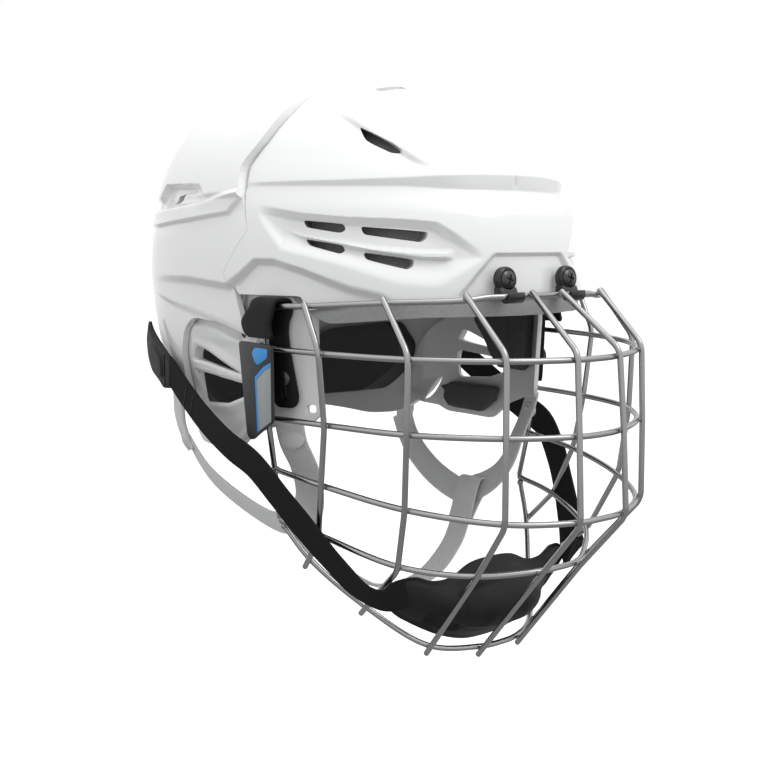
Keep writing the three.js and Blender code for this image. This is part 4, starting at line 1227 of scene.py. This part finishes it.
def build_side_loop(label, side):
    across = np.linspace(0, 1, 15)
    centre = []
    for z, back, front in through(LOOP_FOOT, 26):
        y = back + (front - back) * across
        centre.append(np.stack([ear_face(y, z) + 1.7, y, np.full_like(y, z)], axis=-1))
    foot = centre[-1]
    # over the bar in a round arch, then down outside it
    for t in np.linspace(0, math.pi, 15)[1:]:
        z0, b0, f0 = LOOP_FOOT[-1]
        z1, b1, f1 = LOOP_HANG[0]
        share = t / math.pi
        y = (b0 + (b1 - b0) * share) + ((f0 - b0) + ((f1 - b1) - (f0 - b0)) * share) * across
        inner = ear_face(foot[:, 1], z0) + 1.7
        middle, reach = (inner + FLAP_X) / 2, (FLAP_X - inner) / 2
        c, s = math.cos(t), math.sin(t)
        x = middle - reach * np.sign(c) * abs(c) ** LOOP_SQUARENESS
        eaves = z0 + (z1 - z0) * share
        z = eaves + (LOOP_ROOF - eaves) * s ** LOOP_SQUARENESS
        centre.append(np.stack([x, y, np.full_like(y, z)], axis=-1))
    for z, back, front in through(LOOP_HANG, 16)[1:]:
        y = back + (front - back) * across
        centre.append(np.stack([np.full_like(y, FLAP_X), y, np.full_like(y, z)], axis=-1))
    centre = np.array(centre)
    outwards = unit(np.cross(np.gradient(centre, axis=0), np.gradient(centre, axis=1)))
    if outwards[5, 7, 0] < 0:
        outwards = -outwards
    thick = LOOP_WALL / 2 * (1 - 0.35 * np.abs(2 * across - 1)[None, :, None] ** 8)
    loop = slab(f"side_loop_{label}", centre + outwards * thick, centre - outwards * thick)
    cut(loop, [prism_x("slot", rounded(LOOP_SLOT, 1.3), 60, 120)])
    if side == RIGHT:
        flip(loop)
    smooth_shading(loop, 50)
    loop.data.materials.clear()
    loop.data.materials.append(LOOKS["loop_rubber"]())
    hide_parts(f"loop_base_{label}", f"loop_flap_{label}")
    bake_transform(loop)
    lean = math.atan2(ear_face(-15, -42) - ear_face(-26, -42), 11)
    axis = (side * math.cos(lean), -math.sin(lean), 0)
    at = np.array((side * ear_face(-20.5, -41.5), -20.5, -41.5)) + unit(axis) * (LOOP_WALL + 0.6)
    screw = turned(f"side_screw_{label}", SIDE_SCREW_PROFILE, at, axis)
    cut(screw, cross_recess(at, axis, 1.9, arm=1.9, wide=0.38))
    place(screw, "screw_steel", "helmet", [f"loop_screw_{label}"], angle=30)


# ---------------------------------------------------------------- label plate

PLATE = [(2.5, -24), (-27.5, -24.2), (-28, -61.5), (-17.5, -67.5), (-8.5, -73), (-4.5, -71)]
PLATE_PANEL = [(-27.6, -34.6), (-22, -37), (-14.7, -42), (-16.4, -67.2), (-27.6, -61.2)]
PLATE_STRIPE = [(-27.6, -32.6), (-21.4, -35), (-13.2, -40.8), (-14.8, -68.2), (-16.4, -67.2), (-14.7, -42),
                (-22, -37), (-27.6, -34.6)]
PLATE_PATCH = [(-24.8, -26.2), (-13.4, -26.2), (-10.4, -29.2), (-13.6, -33.8), (-16.2, -34.6),
               (-24.8, -30.6)]


def plate_part(name, outline, x0, x1, radius, look):
    part = prism_x(name, rounded(outline, radius), -x1, -x0)
    soften(part, 0.12, 2, 60)
    return place(part, "label", "cage", look=look)


def build_label_plate():
    plate = prism_x("side_plate", rounded(PLATE, 2.5), -101.0, -99.0)
    soften(plate, 0.35, 2, 60)
    place(plate, "label", "cage", ["label_plate"])
    grey = finish("plate_grey", (0.24, 0.26, 0.265), (0.35, 0.5), tint=0.04, grain=120)
    blue = finish("plate_blue", (0.018, 0.235, 0.6), (0.35, 0.5), tint=0.05, grain=120)
    plate_part("plate_panel", PLATE_PANEL, 100.9, 101.15, 0.6, grey)
    plate_part("plate_stripe", PLATE_STRIPE, 100.9, 101.18, 0.3, blue)
    plate_part("plate_patch", PLATE_PATCH, 100.9, 101.2, 1.3, blue)


# ---------------------------------------------------------------- harness straps

# stations of the straps: x, y, z and the way they face
HARNESS = [
    (104.5, 71.5, -44.2, 1, 0, -0.1), (105, 62.5, -49, 1, 0, -0.1), (105.6, 50, -56, 1, 0, -0.1),
    (106, 30, -66.5, 1, 0, -0.1), (105.2, 6, -77, 1, -0.05, -0.15), (102.4, -13, -84.5, 0.95, -0.2, -0.2),
    (97, -28, -99, 0.9, -0.25, -0.3), (91, -39, -112, 0.85, -0.3, -0.35),
    (82, -53, -129.5, 0.7, -0.35, -0.6), (73.4, -63.6, -142.2, 0.5, -0.45, -0.7),
    (66.6, -71.6, -145.8, 0.5, -0.6, -0.6), (59.5, -75.5, -143.5, 0.6, -0.7, -0.3),
    (56.5, -76.5, -142.8, 0.6, -0.7, -0.3),
]
HARNESS_SIZE = (17, 1.8)
TAB_PLAN = [(62, 103.8), (65.8, 103.6), (75, 103.2), (85, 102.2), (95, 100.8), (109, 98.6)]
TAB_OUTLINE = [(102, -18.5), (97, -24), (88.5, -28.5), (73, -36), (66.2, -39.5), (68, -54.5), (80, -55.5),
               (85, -52.5), (99, -47.5), (105, -40), (107, -30)]
TAB_RAISED = [(97, -30), (88, -32), (78, -38.5), (77, -50), (84, -49), (96, -44), (101, -38)]
TAB_GROOVE = [(74.6, -36.6), (76.0, -36.6), (75.6, -54), (74.2, -54)]


def mirrored_rows(rows, side):
    return [(x * side, y, z, nx * side, ny, nz) for x, y, z, nx, ny, nz in rows]


def strap_line(stations, samples):
    rows = through(stations, samples)
    return rows[:, :3], rows[:, 3:]


def build_harness(label, side):
    centre, out = strap_line(mirrored_rows(HARNESS, side), 90)
    strap = ribbon(f"harness_webbing_{label}", centre, out, *HARNESS_SIZE)
    place(strap, "harness_webbing", "cage", [f"harness_strap_{label}"])
    # stitched fold just past the snap tab
    bars = []
    for i in (15, 18):
        ahead = centre[i + 1] - centre[i - 1]
        at = centre[i] + unit(out[i]) * 0.95
        bars.append(box_solid("stitch", at, np.cross(ahead, out[i]), out[i], (6.5, 0.35, 0.25)))
    stitches = join(f"harness_stitching_{label}", bars)
    soften(stitches, 0.12, 2, 40)
    thread = finish("black_thread", (0.014, 0.014, 0.014), (0.7, 0.8), tint=0.2)
    place(stitches, "harness_webbing", "cage", look=thread)
    # snap tab: a moulded plate with a raised pad and a crossbar that the strap goes round
    ys = np.linspace(62, 109, 60)
    zs = np.linspace(-58, -16, 50)
    z, y = np.meshgrid(zs, ys)
    inner = np.interp(y, *zip(*TAB_PLAN))
    pad_rise = 1.1 * smooth(-0.4, 1.8, -outline_distance(rounded(TAB_RAISED, 3), y, z))
    edge = 0.9 * (1 - smooth(0, 2.2, -outline_distance(rounded(TAB_OUTLINE, 3), y, z)))
    outer = inner + 2.3 + pad_rise - edge
    tab = slab(f"snap_tab_{label}", np.stack([outer, y, z], axis=-1), np.stack([inner, y, z], axis=-1))
    cut(tab, [prism_x("region", rounded(TAB_OUTLINE, 3), 80, 125)], "INTERSECT")
    cut(tab, [prism_x("groove", rounded(TAB_GROOVE, 0.4), 105.0, 125)])
    if side == RIGHT:
        flip(tab)
    place(tab, "clip_plastic", "cage", [f"harness_snap_{label}"], angle=45,
          look=finish("black_tab", (0.006, 0.006, 0.0065), (0.42, 0.56), tint=0.2, specular=0.22))


# ---------------------------------------------------------------- chin straps

FRONT_STRAP = [
    (85.6, -19.4, -62, 0.92, -0.39, 0), (84.9, -19.1, -66, 0.92, -0.39, -0.05),
    (82, -18.2, -75.5, 0.92, -0.39, -0.15), (75.5, -17.5, -88, 0.9, -0.38, -0.3),
    (71, -15.5, -101, 0.9, -0.35, -0.35), (67.5, -9, -112, 0.9, -0.3, -0.4),
    (65.2, 1, -119.5, 0.9, -0.2, -0.4), (64.4, 9, -123, 0.9, -0.1, -0.42),
]
REAR_STRAP = [
    (80, 97, -89, 0.9, 0.3, -0.3), (77.5, 88, -100.5, 0.9, 0.15, -0.4), (75, 77, -109.5, 0.9, 0.1, -0.4),
    (70, 52, -120.5, 0.9, 0, -0.45), (66.3, 25, -126.5, 0.9, 0, -0.45), (64.6, 14, -125.5, 0.9, 0, -0.45),
]
REAR_ANCHOR = [
    (86.2, 97, -58, 0.97, 0.15, -0.1), (86, 97, -68, 0.97, 0.12, -0.1), (84.6, 97.5, -79, 0.95, 0.15, -0.2),
    (81.6, 96, -90, 0.9, 0.2, -0.3), (80, 94, -95, 0.9, 0.2, -0.3),
]
LOWER_HALF = [
    (0, -4, -168, 0, -0.1, -1), (20, -3, -164.5, 0.3, -0.1, -1), (42, 2, -151, 0.7, -0.1, -0.7),
    (54, 8, -139.5, 0.85, -0.1, -0.5),
]


def build_chin_straps():
    for label, side in SIDES:
        centre, out = strap_line(mirrored_rows(FRONT_STRAP, side), 60)
        strap = ribbon(f"front_chin_webbing_{label}", centre, out, 17.5, 1.4)
        place(strap, "chin_webbing", "helmet", [f"chin_strap_front_{label}"])
        centre, out = strap_line(mirrored_rows(REAR_STRAP, side), 60)
        strap = ribbon(f"rear_chin_webbing_{label}", centre, out, 15, 1.4)
        place(strap, "chin_webbing", None, [f"chin_strap_rear_{label}"])
        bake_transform(strap)
        build_rear_anchor(label, side)
        build_keeper(label, side)
        # oval snap button on the front strap
        profile = [(6.2, -0.6), (7.2, 0.0), (7.4, 0.7), (7.0, 1.4), (4.6, 1.9), (0.4, 2.0)]
        at = (side * 83.3, -18.9, -73)
        button = turned("oval", profile, at, (side * 0.92, -0.39, 0), squeeze=0.64)
        stem = turned("stem", [(1.6, -3), (1.6, 0.5)], at, (side * 0.92, -0.39, 0), segments=16)
        cut(button, [stem], "UNION")
        button.name = f"oval_snap_{label}"
        place(button, "keeper_plastic", "helmet", [f"strap_snap_{label}"])
    rows = mirrored_rows(LOWER_HALF[1:], RIGHT)[::-1] + LOWER_HALF
    centre, out = strap_line(rows, 120)
    lower = ribbon("lower_chin_webbing", centre, out, 17.5, 1.5)
    place(lower, "chin_webbing", "helmet", ["chin_strap_lower"])


def build_rear_anchor(label, side):
    """The narrow stitched end that ties the rear strap to the rear shell."""
    centre, out = strap_line(mirrored_rows(REAR_ANCHOR, side), 40)
    lumps = 13.5 + 0.7 * np.sin(np.linspace(0, 7 * math.pi, 40)) * smooth(0, 8, np.arange(40.0))
    tab = ribbon(f"rear_anchor_{label}", centre, out, lumps, 2.4)
    place(tab, "chin_webbing", "rear")
    button = turned(f"anchor_button_{label}", [(4.2, 0), (4.8, 0.6), (4.6, 1.6), (3.0, 2.2), (0.3, 2.4)],
                    (side * 81.8, 95.5, -90), (side * 0.88, 0.1, -0.3))
    place(button, "keeper_plastic", "rear")


def build_keeper(label, side):
    """The lower strap's end, folded over the corner where the other two straps meet."""
    top = np.array((64.5, 9.0, -119.5))
    down = unit(np.array((54, 8, -139.5)) - top)
    out = unit(np.cross(np.cross(down, (1, 0, -0.45)), down))
    if out[0] < 0:
        out = -out
    reach, loop_radius = 25.0, 3.4
    path = []
    for t in np.linspace(0, 1, 10):
        path.append(top + down * (reach * (1 - t)) + out * (0.9 + (loop_radius - 0.9) * smooth(0, 1, t)))
    for t in np.linspace(0, math.pi, 14)[1:-1]:
        path.append(top + out * loop_radius * math.cos(t) - down * loop_radius * math.sin(t))
    for t in np.linspace(1, 0, 10):
        path.append(top + down * (reach * (1 - t)) - out * (0.9 + (loop_radius - 0.9) * smooth(0, 1, t)))
    path = mirror(path, side)
    ahead = np.gradient(path, axis=0)
    across = unit(np.cross(down, out)) * (side, 1, 1)
    facing = np.cross(ahead, across)
    keeper = ribbon(f"strap_loop_{label}", path, facing, 18.5, 1.3)
    place(keeper, "chin_webbing", "helmet", [f"strap_keeper_{label}"])


# ---------------------------------------------------------------- chin cup

# section of the cup at each distance from the middle: x, top (y, z), bottom (y, z), forward bulge
CUP = [
    (0, -72, -134, -68, -178.5, 24), (14, -72.5, -135, -68, -177.5, 22),
    (27, -73, -140.5, -66.5, -173.5, 15), (38, -72.5, -140.5, -65.5, -168, 8.5),
    (48, -71.5, -137, -64.5, -162, 6), (60, -67, -138.5, -63.5, -154, 4),
]
CUP_TIP = 50  # its ends round off from this distance on


def cup_grid(columns, rows, margin=0.0):
    """The cup's front face as a grid of points, with its inward normals."""
    half = through([(-CUP[1][0], *CUP[1][1:]), *CUP], 10 * columns)
    half = half[half[:, 0] >= 0]
    u = np.linspace(-1 + margin, 1 - margin, columns)
    x = np.sign(u) * np.abs(u) * CUP[-1][0]
    top_y, top_z, low_y, low_z, bulge = [np.interp(np.abs(x), half[:, 0], half[:, k]) for k in range(1, 6)]
    t = np.linspace(0.03 + margin * 0.5, 0.97 - margin * 0.5, rows)[None, :]
    y = top_y[:, None] + (low_y - top_y)[:, None] * t - bulge[:, None] * np.sin(math.pi * t)
    z = top_z[:, None] + (low_z - top_z)[:, None] * t
    points = np.stack([np.broadcast_to(x[:, None], y.shape), y, z], axis=-1)
    inward = unit(np.cross(np.gradient(points, axis=0), np.gradient(points, axis=1)))
    if inward[columns // 2, rows // 2, 1] < 0:
        inward = -inward
    # the ends are round, not square
    towards_end = np.clip((np.abs(x) - CUP_TIP) / (CUP[-1][0] - CUP_TIP), 0, 0.99)
    tip = 0.45 * (1 - np.sqrt(1 - towards_end ** 2))[:, None]
    centre = points.mean(axis=1, keepdims=True)
    points = centre + (points - centre) * (1 - tip[..., None])
    return points, inward, x, t


def build_chin_cup():
    columns, rows = 130, 70
    points, inward, x, t = cup_grid(columns, rows)
    wide = np.abs(x)[:, None]
    # a raised middle panel with a sunk slot at each side, and a rolled rim
    panel = ramp(0, 2.0, 27 - 10 * (t - 0.3) - wide) * ramp(0, 0.05, t - 0.2) * (1 - ramp(0.7, 0.76, t))
    slot_length = ramp(0, 1.5, wide - 24) * (1 - ramp(0, 1.5, wide - 40))
    slot = slot_length * ramp(0, 0.05, t - 0.9 + 0.008 * wide) * (1 - ramp(0.8, 0.86, t))
    rim = 1 - smooth(0.0, 0.07, np.minimum(t, 1 - t) - 0.03) + 0 * wide
    wing = ramp(0, 1.8, wide - 41) * ramp(0, 0.06, t - 0.12) * (1 - ramp(0.82, 0.9, t))
    out = 1.3 * panel - 1.9 * slot + 0.7 * rim + 1.0 * wing
    cup = slab("cup_shell", points - inward * out[..., None], points + inward * 2.3)
    soften(cup, 0.5, 2, 60)
    place(cup, "cup_plastic", "chin_cup", ["chin_cup"])


# ---------------------------------------------------------------- build

set_camera()
set_studio()
build_shells()
build_liners()
for side_label, side_sign in SIDES:
    build_ear_guard(side_label, side_sign)
    build_side_loop(side_label, side_sign)
    build_harness(side_label, side_sign)
build_cage()
build_clips()
build_label_plate()
build_chin_straps()
build_chin_cup()
for side_label, _ in SIDES:
    pad(f"ear_cushion_{side_label}", f"ear_pad_{side_label}", "helmet", "foam_black")
    pad(f"temple_cushion_{side_label}", f"temple_pad_{side_label}", "helmet", "foam_black",
        widest=92.6)
pad("chin_cushion", "chin_pad", "chin_cup", "foam_black")
